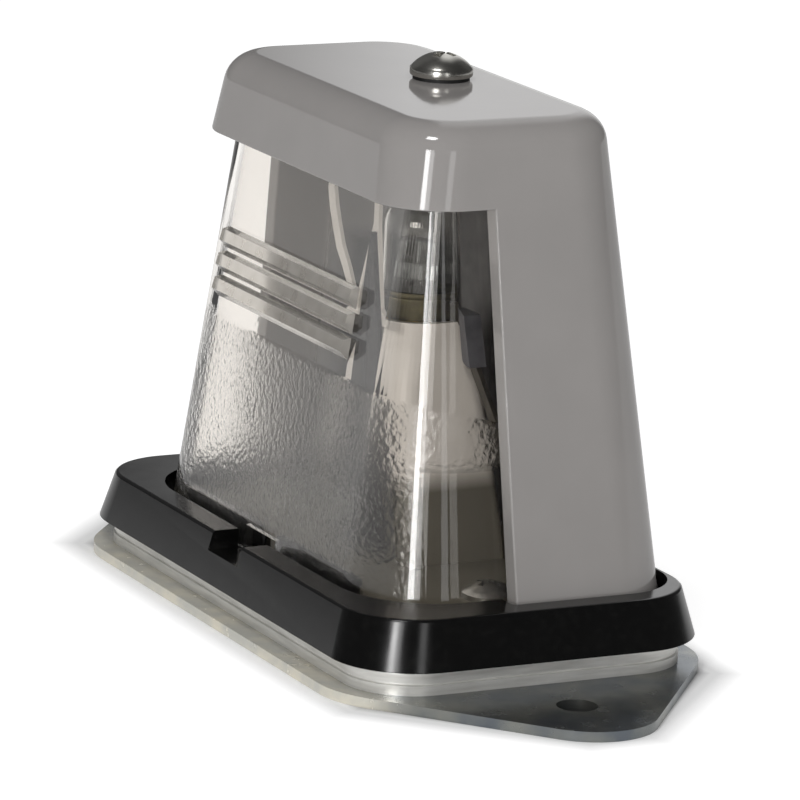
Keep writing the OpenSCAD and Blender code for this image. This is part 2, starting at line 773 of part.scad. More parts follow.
// Dark tapering plate on the pedestal's front
module shield_blade() {
    color([0.2, 0.2, 0.22]) difference() {
        translate([0, blade_y + blade_t, 0]) rotate([90, 0, 0]) linear_extrude(blade_t)
            polygon([[-blade_w / 2, carrier_top], [blade_w / 2, carrier_top],
                [blade_w / 2, blade_bend], [0.3, blade_tip - 1.2], [-0.3, blade_tip - 1.2],
                [-blade_w / 2, blade_bend]]);
        translate([0, blade_y - 1, carrier_top + 6]) rotate([-90, 0, 0])
            cylinder(d = rivet_d - 0.1, h = blade_t + 2);
    }
}

module blade_rivet() {
    color("silver") translate([0, blade_y - 0.8, carrier_top + 6]) rotate([-90, 0, 0]) {
        cylinder(d = rivet_d + 2, h = 0.8);
        cylinder(d = rivet_d - 0.1, h = 0.8 + blade_t + pedestal_wall + 0.8);
    }
}

// Side outline of the strip's leg: y across, z up
module strip_path() {
    y1 = strip_y - strip_t / 2;
    y2 = y1 + strip_lean;
    y3 = strip_foot_y;
    polygon([[y1, arm_z + strip_w], [y1, arm_z], [y2, block_z], [y3, leg_bend],
        [y3, carrier_top], [y3 + strip_t, carrier_top], [y3 + strip_t, leg_bend],
        [y2 + strip_t, block_z], [y1 + strip_t, arm_z], [y1 + strip_t, arm_z + strip_w]]);
}

// Bent strip: an arm that bears on the bulb's cap, then a leg that slants back
module contact_strip() {
    arm_x = cap_d / 2 + 0.02;
    color("peru") {
        translate([arm_x, strip_y - strip_t / 2, arm_z])
            cube([strip_x - arm_x, strip_t, strip_w]);
        translate([strip_x - strip_w / 2, 0, 0]) rotate([90, 0, 90])
            linear_extrude(strip_w) strip_path();
    }
}

// Dark block that grips the strip beside the pedestal's top
module contact_block() {
    y1 = strip_y - block_d / 2;
    y2 = y1 + strip_lean * 0.7;
    color([0.32, 0.33, 0.35]) difference() {
        translate([strip_x - block_w / 2, 0, 0]) rotate([90, 0, 90])
            linear_extrude(block_w) polygon([[y1, block_z + block_h], [y2, block_z],
                [y2 + block_d, block_z], [y1 + block_d, block_z + block_h]]);
        translate([strip_x - strip_w / 2, 0, 0]) rotate([90, 0, 90])
            linear_extrude(strip_w) strip_path();
        translate([0, strip_y - strip_t / 2, arm_z]) cube([strip_x, strip_t, strip_w]);
    }
}

// Angle strip that feeds the centre contact from inside the pedestal
module centre_lead() {
    z = contact_foot;
    x = pedestal_top - pedestal_wall - 1.6;
    color("peru") {
        translate([-2, bulb_y - 1.5, z - strip_t]) cube([x + 2, 3, strip_t]);
        translate([x - strip_t, bulb_y - 1.5, floor_top + 0.2])
            cube([strip_t, 3, z - floor_top - 0.2]);
    }
}

// Rubber bush that lines the cable hole
module cable_grommet() {
    color([0.1, 0.1, 0.1]) translate([-cable_x, cable_y, 0]) difference() {
        union() {
            cylinder(d = cable_hole_d, h = tray_top);
            translate([0, 0, tray_top]) cylinder(d = cable_hole_d + 2, h = 1.4);
        }
        translate([0, 0, -1]) cylinder(d = cord_bore, h = tray_top + 4);
    }
}

base_plate();
base_tray();
tray_rivets();
base_frame();
lens_seal();
carrier();
frame_screws();
lens();
hood();
screw_seal();
cover_screw();
cover_bracket();
cover_nut();
bracket_rivets();
holder_shell();
holder_insulator();
centre_contact();
contact_spring();
bulb_cap();
bulb_solder();
bulb_glass();
bulb_stem();
filament();
shield_blade();
blade_rivet();
contact_strip();
contact_block();
centre_lead();
cable_grommet();
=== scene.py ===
import math

import bmesh
import bpy
from bpy.props import FloatProperty, FloatVectorProperty, IntProperty, PointerProperty
from mathutils import Matrix, Vector


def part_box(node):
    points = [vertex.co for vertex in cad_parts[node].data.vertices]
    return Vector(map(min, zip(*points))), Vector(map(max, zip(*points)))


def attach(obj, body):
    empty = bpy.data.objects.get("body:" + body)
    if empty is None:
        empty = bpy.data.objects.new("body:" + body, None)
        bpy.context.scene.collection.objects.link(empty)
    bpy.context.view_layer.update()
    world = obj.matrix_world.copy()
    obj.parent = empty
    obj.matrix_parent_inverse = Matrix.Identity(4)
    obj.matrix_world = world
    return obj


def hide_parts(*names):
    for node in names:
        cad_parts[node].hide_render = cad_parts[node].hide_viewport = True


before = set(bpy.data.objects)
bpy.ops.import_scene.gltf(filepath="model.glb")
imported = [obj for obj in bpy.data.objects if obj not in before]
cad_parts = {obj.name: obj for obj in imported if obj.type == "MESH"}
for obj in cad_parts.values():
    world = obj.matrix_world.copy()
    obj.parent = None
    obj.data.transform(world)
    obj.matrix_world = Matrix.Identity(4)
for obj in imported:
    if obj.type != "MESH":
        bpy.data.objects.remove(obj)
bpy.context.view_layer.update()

bl_info = {
    "name": "Number plate lamp",
    "version": (1, 0, 0),
    "blender": (4, 5, 0),
    "location": "3D View > Sidebar > Lamp",
    "description": "A number plate lamp with a clear lens under a grey hood",
    "category": "Add Mesh",
}

MM = 0.001
BODY = "root"
# The low and the high corner of pieces in the frame.
PLATE_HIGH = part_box("base_plate")[1]
TRAY_LOW, TRAY_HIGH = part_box("base_tray")
FRAME_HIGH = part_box("base_frame")[1]
HOOD_LOW, HOOD_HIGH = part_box("hood")
LENS_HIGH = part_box("lens")[1]
CARRIER_LOW, CARRIER_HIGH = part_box("carrier")
SCREW_LOW, SCREW_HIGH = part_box("cover_screw")
CAP_LOW, CAP_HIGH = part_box("bulb_cap")
GLASS_LOW, GLASS_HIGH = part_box("bulb_glass")
SHELL_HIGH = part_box("holder_shell")[1]
BLADE_LOW, BLADE_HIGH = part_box("shield_blade")
BLOCK_LOW, BLOCK_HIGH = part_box("contact_block")
STRIP_LOW, STRIP_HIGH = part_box("contact_strip")

FRAME_TOP = 12.7 * MM
TRAY_TOP = TRAY_HIGH.z
SEAT = HOOD_LOW.z
HOOD_TOP = HOOD_HIGH.z
SCREW_Y = (SCREW_LOW.y + SCREW_HIGH.y) / 2
BULB_Y = (GLASS_LOW.y + GLASS_HIGH.y) / 2
# Holes in the base: their places from the middle and their radii.
CABLE_X, CABLE_Y, CABLE_WAY = -19.5 * MM, 13.5 * MM, 5.5 * MM
RIVET_X, RIVET_WAY = 42 * MM, 1.65 * MM
SCREW_X, SCREW_WAY = 31 * MM, 2.3 * MM
BLADE_BEND = 22.7 * MM
# The strip's arm runs between these heights, and its sheet is this thick and wide.
ARM_LOW, ARM_HIGH = 45.2 * MM, 47.8 * MM
STRIP_SHEET, STRIP_WIDTH = 0.8 * MM, 2.6 * MM
# Cutters reach this far from the middle, past the hood and the lens on every side.
FAR = 60 * MM

# Clear acrylic: its tint, what it lets through, and its index of refraction.
CLEAR_TINT, CLEAR_SHADE, PMMA_IOR = "#f7f4f0", "#efedeb", 1.49

CAMERA_PLACE = (0.739419, -0.381879, 0.232724)
CAMERA_LENS = 258.04
# Name, azimuth and elevation in degrees, distance, width and height in metres, watts, and
# slant in degrees.
SOFT_BOXES = (
    ("top_box", 38, 64, 0.9, 0.2, 0.14, 1.5, 0),
    ("key_strip", 44.4, 8.9, 0.8, 0.1, 0.5, 2.6, 4.4),
    ("key_side", 51.5, 8.9, 0.8, 0.09, 0.5, 0.6, 4.4),
    ("soft_strip", 84, 9, 0.8, 0.12, 0.4, 0.3, 0),
)


def size(name, words, value):
    """A length in metres that a user may change, from a value in millimetres."""
    return FloatProperty(name=name, description=words, default=value * MM,
                         unit="LENGTH", subtype="DISTANCE", precision=5)


def colour(name, words, value):
    """A colour that a user may change, from an sRGB hex value."""
    return FloatVectorProperty(name=name, description=words, default=linear(value)[:3],
                               subtype="COLOR", size=3, min=0.0, max=1.0)


def linear(value):
    """sRGB hex to linear red, green, blue and alpha."""
    parts = [int(value[i:i + 2], 16) / 255 for i in (1, 3, 5)]
    return tuple(c / 12.92 if c <= 0.04045 else ((c + 0.055) / 1.055) ** 2.4
                 for c in parts) + (1.0,)


class HoodShape(bpy.types.PropertyGroup):
    foot_width: size("Width at frame", "Width of the hood where it leaves the frame", 89)
    top_width: size("Width of top", "Width of the hood's top", 68.2)
    foot_front: size("Front at frame", "From the middle to the hood's front, at the frame", 27)
    top_front: size("Front of top", "From the middle to the front of the hood's top", 16.7)
    foot_back: size("Back at frame", "From the middle to the hood's back, at the frame", 25)
    top_back: size("Back of top", "From the middle to the back of the hood's top", 18.1)
    wall: size("Wall", "Thickness of the hood's wall", 3.1)
    corner: size("Corner radius", "Radius of the upright corners", 10)
    edge: size("Top edge radius", "Rounding of the edge round the top", 4)
    visor: size("Visor height", "Height of the visor at the front", 12.1)
    side_top: size("Side edge at visor",
                   "Front edge of the side wall before the middle, at the visor", 3.8)
    side_foot: size("Side edge at frame",
                    "Front edge of the side wall before the middle, at the frame", 2.1)
    colour: colour("Colour", "Colour of the moulded hood", "#8d8a88")


class LensShape(bpy.types.PropertyGroup):
    side_gap: size("Side gap", "From the hood's outside to the lens, at the sides", 3.3)
    setback: size("Setback at frame", "How far the lens lies behind the hood's front", 5.4)
    top_setback: size("Setback at top", "The same, at the top", 4.5)
    wall: size("Wall", "Thickness of the lens's wall", 1.6)
    foot_corner: size("Corner at frame", "Radius of the lens's upright corners at the frame", 13.9)
    top_corner: size("Corner at top", "The same radius, at the top", 2.8)
    reach: size("Reach", "How far the lens's sides reach behind the middle", 6)
    web: size("Web", "Thickness of the web at the top of the lens", 2.2)
    clear_above: size("Clear above", "Height above which the lens is smooth", 40)
    prisms: IntProperty(name="Prism bars", description="Number of bars on the front", default=3,
                        min=1, max=3)
    prism_top: size("Prism top", "Height of the top bar's upper edge", 54)
    prism_pitch: size("Prism pitch", "Distance from one bar to the next", 3.7)
    prism_height: size("Prism height", "Height of one bar", 3.2)
    prism_depth: size("Prism depth", "How far a bar stands out", 1.5)
    prism_left: size("Prism left", "Left end of the bars from the middle", 26)
    prism_right: size("Prism right", "Right end of the bars from the middle", 18)


class BaseShape(bpy.types.PropertyGroup):
    ear_spacing: size("Ear spacing", "Distance between the two ear holes", 120)
    ear_hole: size("Ear hole", "Diameter of each ear hole", 6)
    ear_end: size("Ear end radius", "Radius of the round end of each ear", 10.4)
    ear_tip: size("Ear tip", "From the ear hole's centre to the ear's tip", 13)
    plate_corner: size("Plate corner", "Corner radius of the plate's body", 14.5)
    plate_half_x: size("Plate half width", "Half width of the plate's body", 52.45)
    tray_corner: size("Tray corner", "Corner radius of the tray", 10)
    frame_corner: size("Frame corner", "Corner radius of the frame", 12)
    frame_lean: size("Frame lean", "How far the frame's wall leans in over its height", 2)
    frame_edge: size("Frame edge", "Rounding of the frame's upper edge", 0.4)
    seat_room: size("Seat room", "Room round the hood and lens in the frame", 1.2)
    notch: size("Notch width", "Width of the drain notch", 10)
    notch_depth: size("Notch depth", "Depth of the drain notch", 2.9)


class StageLook(bpy.types.PropertyGroup):
    azimuth: FloatProperty(name="Azimuth", description="Camera round the object from the front",
                           default=math.radians(62.6393), subtype="ANGLE", unit="ROTATION")
    elevation: FloatProperty(name="Elevation", description="Camera above the horizon",
                             default=math.radians(13.5624), subtype="ANGLE", unit="ROTATION")
    roll: FloatProperty(name="Roll", description="Turn of the camera about its own axis",
                        default=math.radians(2.4556), subtype="ANGLE", unit="ROTATION")
    floor: colour("Floor", "Colour of the studio floor", "#f4f4f4")


# ---------------------------------------------------------------- nodes


def add(tree, kind, sockets=(), **settings):
    """Adds a node with its settings.

    sockets are its inputs by name or number. Each is a value, another node's output, or a
    node, which stands for its first output.
    """
    node = tree.nodes.new(kind)
    for key, value in settings.items():
        setattr(node, key, value)
    for key, value in dict(sockets).items():
        if isinstance(value, bpy.types.Node):
            value = value.outputs[0]
        if isinstance(value, bpy.types.NodeSocket):
            tree.links.new(value, node.inputs[key])
        else:
            node.inputs[key].default_value = value
    return node


def material(name, **settings):
    """A new material with one Principled shader. settings are that shader's inputs."""
    mat = bpy.data.materials.new(name)
    mat.use_nodes = True
    tree = mat.node_tree
    shader = tree.nodes["Principled BSDF"]
    for key, value in settings.items():
        shader.inputs[key.replace("_", " ")].default_value = value
    return mat, tree, shader


def position(tree):
    """X, Y and Z of the surface in object space, as a node's outputs."""
    place = add(tree, "ShaderNodeTexCoord")
    return add(tree, "ShaderNodeSeparateXYZ", {"Vector": place.outputs["Object"]}).outputs


def vary(tree, shader, grain, detail=3.0, stretch=1, colours=(), share=(0.3, 0.7), rough=(),
         dent=()):
    """Varies the finish in patches of about this many millimetres.

    colours are the two ends of the colour and share the part of the noise between them, rough
    is the least and the greatest roughness, and dent is a depth in millimetres and a strength.
    stretch presses the patches flat by that factor. Gives back the colour.
    """
    place = add(tree, "ShaderNodeTexCoord")
    pressed = add(tree, "ShaderNodeMapping", {"Vector": place.outputs["Object"],
                                              "Scale": (1, 1, stretch)})
    noise = add(tree, "ShaderNodeTexNoise", {"Vector": pressed, "Scale": 1 / (grain * MM),
                                             "Detail": detail})
    colour = None
    if colours:
        part = add(tree, "ShaderNodeMapRange", {"Value": noise, "From Min": share[0],
                                                "From Max": share[1]})
        mix = add(tree, "ShaderNodeMix", {0: part, 6: colours[0], 7: colours[1]},
                  data_type="RGBA")
        colour = mix.outputs[2]
        tree.links.new(colour, shader.inputs["Base Color"])
    if rough:
        gloss = add(tree, "ShaderNodeMapRange", {"Value": noise, "To Min": rough[0],
                                                 "To Max": rough[1]})
        tree.links.new(gloss.outputs[0], shader.inputs["Roughness"])
    if dent:
        bump = add(tree, "ShaderNodeBump", {"Height": noise, "Distance": dent[0] * MM,
                                            "Strength": dent[1]})
        tree.links.new(bump.outputs[0], shader.inputs["Normal"])
    return colour


def through_for_light(tree, shader, tint):
    """Lets light pass straight through on its way to what is behind the thin wall."""
    path = add(tree, "ShaderNodeLightPath")
    clear = add(tree, "ShaderNodeBsdfTransparent", {"Color": tint})
    passing = add(tree, "ShaderNodeMath", {0: path.outputs["Is Shadow Ray"],
                                           1: path.outputs["Is Diffuse Ray"]}, operation="MAXIMUM")
    mix = add(tree, "ShaderNodeMixShader", {0: passing, 1: shader, 2: clear})
    tree.links.new(mix.outputs[0], tree.nodes["Material Output"].inputs["Surface"])


# ---------------------------------------------------------------- materials


def tinted(base, factor):
    """The same colour, lighter or darker by a factor."""
    return tuple(min(1.0, c * factor) for c in base[:3]) + (1.0,)


def moulded_abs(shade):
    # Light grey ABS, injection moulded in a polished tool: an even grey with a wet gloss.
    mat, tree, shader = material("grey_abs_moulded_gloss", Roughness=0.06, IOR=1.53)
    vary(tree, shader, 14, colours=(tinted(shade, 0.97), tinted(shade, 1.03)))
    vary(tree, shader, 0.9, detail=6, rough=(0.04, 0.1))
    # Shallow waves as a thick moulding has where it shrinks, some 9 mm long.
    vary(tree, shader, 9, detail=1, dent=(0.01, 0.3))
    return mat


def inner_abs_painted_shade(shade):
    # The inside of the hood: the same ABS off a plain tool, matt. Its colour is painted darker
    # than the outside's, as painted shade, and near black on the back wall below some 50 mm,
    # as painted shade too.
    mat, tree, shader = material("grey_abs_matt_painted_shade", Roughness=0.5, IOR=1.53)
    at = position(tree)
    high = add(tree, "ShaderNodeMapRange", {"Value": at["Z"], "From Min": 48 * MM,
                                            "From Max": 51 * MM})
    ahead = add(tree, "ShaderNodeMapRange", {"Value": at["Y"], "From Min": 12 * MM,
                                             "From Max": 8 * MM})
    unshaded = add(tree, "ShaderNodeMath", {0: high, 1: ahead}, operation="MAXIMUM")
    # Painted shade: near black low on the back wall, darker grey elsewhere inside.
    mix = add(tree, "ShaderNodeMix", {0: unshaded, 6: tinted(shade, 0.12), 7: tinted(shade, 0.78)},
              data_type="RGBA")
    tree.links.new(mix.outputs[2], shader.inputs["Base Color"])
    vary(tree, shader, 1.2, dent=(0.01, 0.4))
    return mat


def polished_pmma():
    # Clear acrylic, injection moulded in a polished tool, faintly warm: glassy, with shallow
    # flow marks some 12 mm long.
    mat, tree, shader = material("clear_pmma_polished", Base_Color=linear(CLEAR_TINT),
                                 Roughness=0.0, IOR=PMMA_IOR, Transmission_Weight=1.0)
    vary(tree, shader, 12, detail=1, dent=(0.02, 0.25))
    through_for_light(tree, shader, linear(CLEAR_SHADE))
    return mat


def stippled_pmma(clear_above):
    # The inside of the lens: the same acrylic with a fine stipple, eroded in the mould, below
    # a level line. It blurs what is behind and glitters.
    mat, tree, shader = material("clear_pmma_stippled", Base_Color=linear(CLEAR_TINT),
                                 Roughness=0.0, IOR=PMMA_IOR, Transmission_Weight=1.0)
    at = position(tree)
    # The line drops along the sides by 0.29 mm a millimetre, from 13.3 mm before the middle.
    side = add(tree, "ShaderNodeMath", {0: at["Y"], 1: 13.3 * MM}, operation="ADD")
    side = add(tree, "ShaderNodeMath", {0: side, 1: 0}, operation="MAXIMUM")
    level = add(tree, "ShaderNodeMath", {0: side, 1: 0.29, 2: at["Z"]}, operation="MULTIPLY_ADD")
    under = add(tree, "ShaderNodeMapRange", {"Value": level, "From Min": clear_above + 0.4 * MM,
                                             "From Max": clear_above - 0.4 * MM})
    # On the sides the stipple is a band that ends above the frame.
    front = add(tree, "ShaderNodeMapRange", {"Value": at["Y"], "From Min": -13.2 * MM,
                                             "From Max": -14.6 * MM})
    over = add(tree, "ShaderNodeMapRange", {"Value": at["Z"], "From Min": clear_above - 9.6 * MM,
                                            "From Max": clear_above - 8.4 * MM})
    either = add(tree, "ShaderNodeMath", {0: front, 1: over}, operation="MAXIMUM")
    below = add(tree, "ShaderNodeMath", {0: under, 1: either}, operation="MULTIPLY")
    # One dimple is about 0.9 mm from the next, with finer pits of 0.6 mm between them.
    place = add(tree, "ShaderNodeTexCoord")
    cells = add(tree, "ShaderNodeTexVoronoi", {"Vector": place.outputs["Object"],
                                               "Scale": 1 / (0.9 * MM)}, feature="SMOOTH_F1")
    fine = add(tree, "ShaderNodeTexNoise", {"Vector": place.outputs["Object"],
                                            "Scale": 1 / (0.6 * MM), "Detail": 2.0})
    both = add(tree, "ShaderNodeMath", {0: cells.outputs["Distance"], 1: fine}, operation="ADD")
    gated = add(tree, "ShaderNodeMath", {0: both, 1: below}, operation="MULTIPLY")
    bump = add(tree, "ShaderNodeBump", {"Height": gated, "Distance": 0.12 * MM,
                                        "Strength": 0.58})
    tree.links.new(bump.outputs[0], shader.inputs["Normal"])
    gloss = add(tree, "ShaderNodeMapRange", {"Value": below, "To Min": 0.0, "To Max": 0.22})
    tree.links.new(gloss.outputs[0], shader.inputs["Roughness"])
    through_for_light(tree, shader, linear(CLEAR_SHADE))
    return mat


def hazy_pmma():
    # The bars on the lens: the same acrylic, pale and hazy where it is thick.
    mat, tree, shader = material("clear_pmma_thick", Roughness=0.1, IOR=PMMA_IOR,
                                 Transmission_Weight=0.65)
    vary(tree, shader, 3, colours=(linear("#c9c4bc"), linear("#dad6cf")))
    vary(tree, shader, 2, detail=2, dent=(0.02, 0.3))
    through_for_light(tree, shader, linear("#e7e6e3"))
    return mat


def black_polyamide():
    # Black polyamide, moulded: deep black with a half-gloss skin and faint dust.
    mat, tree, shader = material("black_polyamide_moulded", Roughness=0.2, IOR=1.53)
    vary(tree, shader, 1.2, detail=8, colours=(linear("#070707"), linear("#121211")),
         share=(0.5, 0.85))
    vary(tree, shader, 4, rough=(0.12, 0.24))
    # Spark-eroded grain, drawn at 0.5 mm so that it shows.
    vary(tree, shader, 0.5, detail=2, dent=(0.006, 0.3))
    return mat


def drawn_tinplate():
    # Tinned steel, drawn and a little dull: light, with faint lines along the draw.
    mat, tree, shader = material("tinned_steel_drawn", Metallic=0.6, Roughness=0.3)
    vary(tree, shader, 7, detail=4, stretch=9, colours=(linear("#d2d1cc"), linear("#ebeae6")),
         rough=(0.3, 0.46), dent=(0.006, 0.3))
    return mat


def zinc_plated_sheet():
    # Zinc-plated and passivated sheet: dark blue-grey with a soft sheen. Along the front edge it
    # is painted lighter and less metallic, painted light, with faint yellow patches.
    mat, tree, shader = material("zinc_plated_sheet", Roughness=0.24)
    dark = vary(tree, shader, 7, detail=4, colours=(linear("#6f757b"), linear("#93948e")),
                share=(0.35, 0.66))
    painted_light_front = vary(tree, shader, 4, detail=5, colours=(linear("#c8c7bf"), linear("#e0dac9")),
                share=(0.35, 0.66))
    # Painted light: from 22 mm to 27 mm before the middle the sheet turns lighter and less
    # metallic.
    edge = add(tree, "ShaderNodeMapRange", {"Value": position(tree)["Y"],
                                            "From Min": -22 * MM, "From Max": -27 * MM})
    mix = add(tree, "ShaderNodeMix", {0: edge, 6: dark, 7: painted_light_front}, data_type="RGBA")
    tree.links.new(mix.outputs[2], shader.inputs["Base Color"])
    metal = add(tree, "ShaderNodeMapRange", {"Value": edge, "To Min": 0.9, "To Max": 0.35})
    tree.links.new(metal.outputs[0], shader.inputs["Metallic"])
    vary(tree, shader, 3, detail=5, rough=(0.16, 0.34))
    vary(tree, shader, 1.5, detail=4, dent=(0.01, 0.4))
    return mat


def offwhite_pbt():
    # Off-white PBT, moulded, with a low gloss. Below some 22 mm, on the foot of the pedestal
    # and on the floor, it is painted dark olive-grey: painted shade.
    mat, tree, shader = material("offwhite_pbt_moulded", Roughness=0.38, IOR=1.5)
    unshaded = vary(tree, shader, 7, colours=(linear("#e2ded8"), linear("#eeebe6")),
                 rough=(0.3, 0.45))
    shaded_low = add(tree, "ShaderNodeMapRange", {"Value": position(tree)["Z"],
                                            "From Min": 24 * MM, "From Max": 20.5 * MM})
    # Painted shade: the colour turns dark olive-grey below some 22 mm.
    mix = add(tree, "ShaderNodeMix", {0: shaded_low, 6: unshaded, 7: linear("#6b685e")}, data_type="RGBA")
    tree.links.new(mix.outputs[2], shader.inputs["Base Color"])
    vary(tree, shader, 1.5, dent=(0.02, 0.3))
    return mat


def plain_metal(name, dark, light, metallic, rough, grain=3.0):
    """Metal with patches from dark to light, some millimetres across."""
    mat, tree, shader = material(name, Metallic=metallic, Roughness=rough)
    vary(tree, shader, grain, detail=5, colours=(linear(dark), linear(light)),
         rough=(rough * 0.8, rough * 1.25))
    vary(tree, shader, grain / 4, detail=4, dent=(0.008, 0.5))
    return mat


def plain_moulding(name, dark, light, rough, grain=2.0):
    """Rubber or plastic with patches from dark to light, some millimetres across."""
    mat, tree, shader = material(name, Roughness=rough)
    vary(tree, shader, grain, detail=5, colours=(linear(dark), linear(light)),
         rough=(rough * 0.85, rough * 1.15))
    vary(tree, shader, grain / 3, dent=(0.015, 0.5))
    return mat


def blown_glass(name, tint, light_share):
    """Thin clear glass that lets this share of the light through to what is behind it."""
    mat, tree, shader = material(name, Base_Color=linear(tint), Roughness=0.02, IOR=1.5,
                                 Transmission_Weight=1.0)
    vary(tree, shader, 3, detail=1, dent=(0.03, 0.4))
    through_for_light(tree, shader, (light_share,) * 3 + (1,))
    return mat


# ---------------------------------------------------------------- mesh helpers


def mesh_object(name, verts, faces):
    """A new object from points in metres and faces."""
    mesh = bpy.data.meshes.new(name)
    mesh.from_pydata([tuple(v) for v in verts], [], faces)
    mesh.validate()
    obj = bpy.data.objects.new(name, mesh)
    bpy.context.scene.collection.objects.link(obj)
    bm = bmesh.new()
    bm.from_mesh(mesh)
    bmesh.ops.recalc_face_normals(bm, faces=bm.faces)
    bm.to_mesh(mesh)
    bm.free()
    return obj


def outline(half_x, front, back, radius, steps=16):
    """Points of a rectangle with round corners, from -front to back."""
    points = []
    centres = ((half_x - radius, back - radius, 0), (-half_x + radius, back - radius, 90),
               (-half_x + radius, -front + radius, 180), (half_x - radius, -front + radius, 270))
    for cx, cy, start in centres:
        for i in range(steps + 1):
            a = math.radians(start + 90 * i / steps)
            points.append((cx + radius * math.cos(a), cy + radius * math.sin(a)))
    return points


def loft(name, rings):
    """A closed solid through rings of points, each a list of (x, y, z)."""
    count = len(rings[0])
    verts = [p for ring in rings for p in ring]
    faces = [tuple(range(count))[::-1]]
    for k in range(len(rings) - 1):
        a, b = k * count, (k + 1) * count
        faces += [(a + i, a + (i + 1) % count, b + (i + 1) % count, b + i) for i in range(count)]
    faces.append(tuple(range((len(rings) - 1) * count, len(rings) * count)))
    return mesh_object(name, verts, faces)


def at_height(points, z):
    """Flat points as points at a height."""
    return [(x, y, z) for x, y in points]


def prism(name, points, low, high, axis="Z"):
    """A closed solid from a flat outline, drawn out along an axis from low to high."""
    order = {"Z": lambda u, v, w: (u, v, w), "Y": lambda u, v, w: (u, w, v),
             "X": lambda u, v, w: (w, u, v)}[axis]
    return loft(name, [[order(u, v, w) for u, v in points] for w in (low, high)])


def lathe(name, profile, centre=(0, 0, 0), steps=48):
    """A turned solid from (radius, height) points that start and end on the axis."""
    verts, faces, rows = [], [], []
    for r, z in profile:
        if r < 1e-9:
            rows.append([len(verts)])
            verts.append((centre[0], centre[1], centre[2] + z))
        else:
            rows.append(list(range(len(verts), len(verts) + steps)))
            for i in range(steps):
                a = 2 * math.pi * i / steps
                verts.append((centre[0] + r * math.cos(a), centre[1] + r * math.sin(a),
                              centre[2] + z))
    for a, b in zip(rows, rows[1:]):
        for i in range(steps):
            j = (i + 1) % steps
            if len(a) == 1:
                faces.append((a[0], b[i], b[j]))
            elif len(b) == 1:
                faces.append((a[i], b[0], a[j]))
            else:
                faces.append((a[i], b[i], b[j], a[j]))
    return mesh_object(name, verts, faces)


def baked(obj):
    """Applies the object's modifiers to its mesh."""
    graph = bpy.context.evaluated_depsgraph_get()
    mesh = bpy.data.meshes.new_from_object(obj.evaluated_get(graph))
    obj.modifiers.clear()
    old = obj.data
    obj.data = mesh
    bpy.data.meshes.remove(old)


def combine(obj, other, operation):
    """Joins, cuts or crosses obj with other, which goes."""
    change = obj.modifiers.new("combine", "BOOLEAN")
    change.operation = operation
    change.solver = "EXACT"
    change.object = other
    baked(obj)
    bpy.data.objects.remove(other)


def cut(obj, *others):
    """Takes the others out of obj. They go."""
    for other in others:
        combine(obj, other, "DIFFERENCE")


def join(obj, *others):
    """Makes one solid of obj and the others. They go."""
    for other in others:
        combine(obj, other, "UNION")
    return obj


def soften(obj, width, segments=2, angle=35):
    """Rounds the hard edges and smooths the rest."""
    bm = bmesh.new()
    bm.from_mesh(obj.data)
    bmesh.ops.remove_doubles(bm, verts=bm.verts, dist=1e-6)
    bmesh.ops.dissolve_degenerate(bm, dist=1e-6, edges=bm.edges)
    bm.to_mesh(obj.data)
    bm.free()
    if width:
        edge = obj.modifiers.new("edges", "BEVEL")
        edge.width = width
        edge.segments = segments
        edge.limit_method = "ANGLE"
        edge.angle_limit = math.radians(angle)
        edge.use_clamp_overlap = True
        baked(obj)
    for face in obj.data.polygons:
        face.use_smooth = True
    obj.data.set_sharp_from_angle(angle=math.radians(angle))
    # Large faces keep their own normals, so reflections stay straight up to the bevels.
    even = obj.modifiers.new("normals", "WEIGHTED_NORMAL")
    even.keep_sharp = True
    baked(obj)


def settle(obj, mat, slot, *nodes):
    """Gives a finished piece its material and body, and hides the nodes it stands for. The
    slot is not used.
    """
    obj.data.materials.clear()
    obj.data.materials.append(mat)
    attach(obj, BODY)
    if nodes:
        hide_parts(*nodes)


def dress(mat, *nodes):
    """Gives CAD nodes that stay a material."""
    for name in nodes:
        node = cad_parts[name]
        node.data.materials.clear()
        node.data.materials.append(mat)


def disc(name, x, y, low, high, radius, steps=32):
    """An upright round bar."""
    points = [(x + radius * math.cos(2 * math.pi * i / steps),
               y + radius * math.sin(2 * math.pi * i / steps)) for i in range(steps)]
    return prism(name, points, low, high)


def box_solid(name, low, high):
    """A block between two corners."""
    points = [(low[0], low[1]), (high[0], low[1]), (high[0], high[1]), (low[0], high[1])]
    return prism(name, points, low[2], high[2])


# ---------------------------------------------------------------- shapes


def hood_at(z):
    """Half width, front, back of the hood at a height."""
    s = bpy.context.scene.lamp_hood
    t = (z - FRAME_TOP) / (HOOD_TOP - FRAME_TOP)
    return (s.foot_width / 2 * (1 - t) + s.top_width / 2 * t,
            s.foot_front * (1 - t) + s.top_front * t, s.foot_back * (1 - t) + s.top_back * t)


def hood_ring(z, inset):
    """The hood's outline at a height, moved inwards."""
    s = bpy.context.scene.lamp_hood
    hx, front, back = hood_at(z)
    radius = max(s.corner - inset, 0.8 * MM)
    return at_height(outline(hx - inset, front - inset, back - inset, radius, 20), z)


def lens_at(z):
    """Half width, front, back and corner radius of the lens at a height."""
    s = bpy.context.scene.lamp_lens
    t = (z - FRAME_TOP) / (HOOD_TOP - FRAME_TOP)
    hx, front, back = hood_at(z)
    return (hx - s.side_gap, front - s.setback * (1 - t) - s.top_setback * t, back - s.side_gap,
            s.foot_corner * (1 - t) + s.top_corner * t)


def lens_ring(z, inset):
    """The lens's outline at a height, moved inwards."""
    hx, front, back, corner = lens_at(z)
    return at_height(outline(hx - inset, front - inset, back - inset, corner, 20), z)


def depth_behind(point, half, front, back, corner):
    """How deep a point lies behind an upright wall with round corners."""
    across = abs(point.x) - (half - corner)
    along = abs(point.y) - ((front if point.y < 0 else back) - corner)
    if across > 0 and along > 0:
        return corner - math.hypot(across, along)
    return corner - max(across, along)


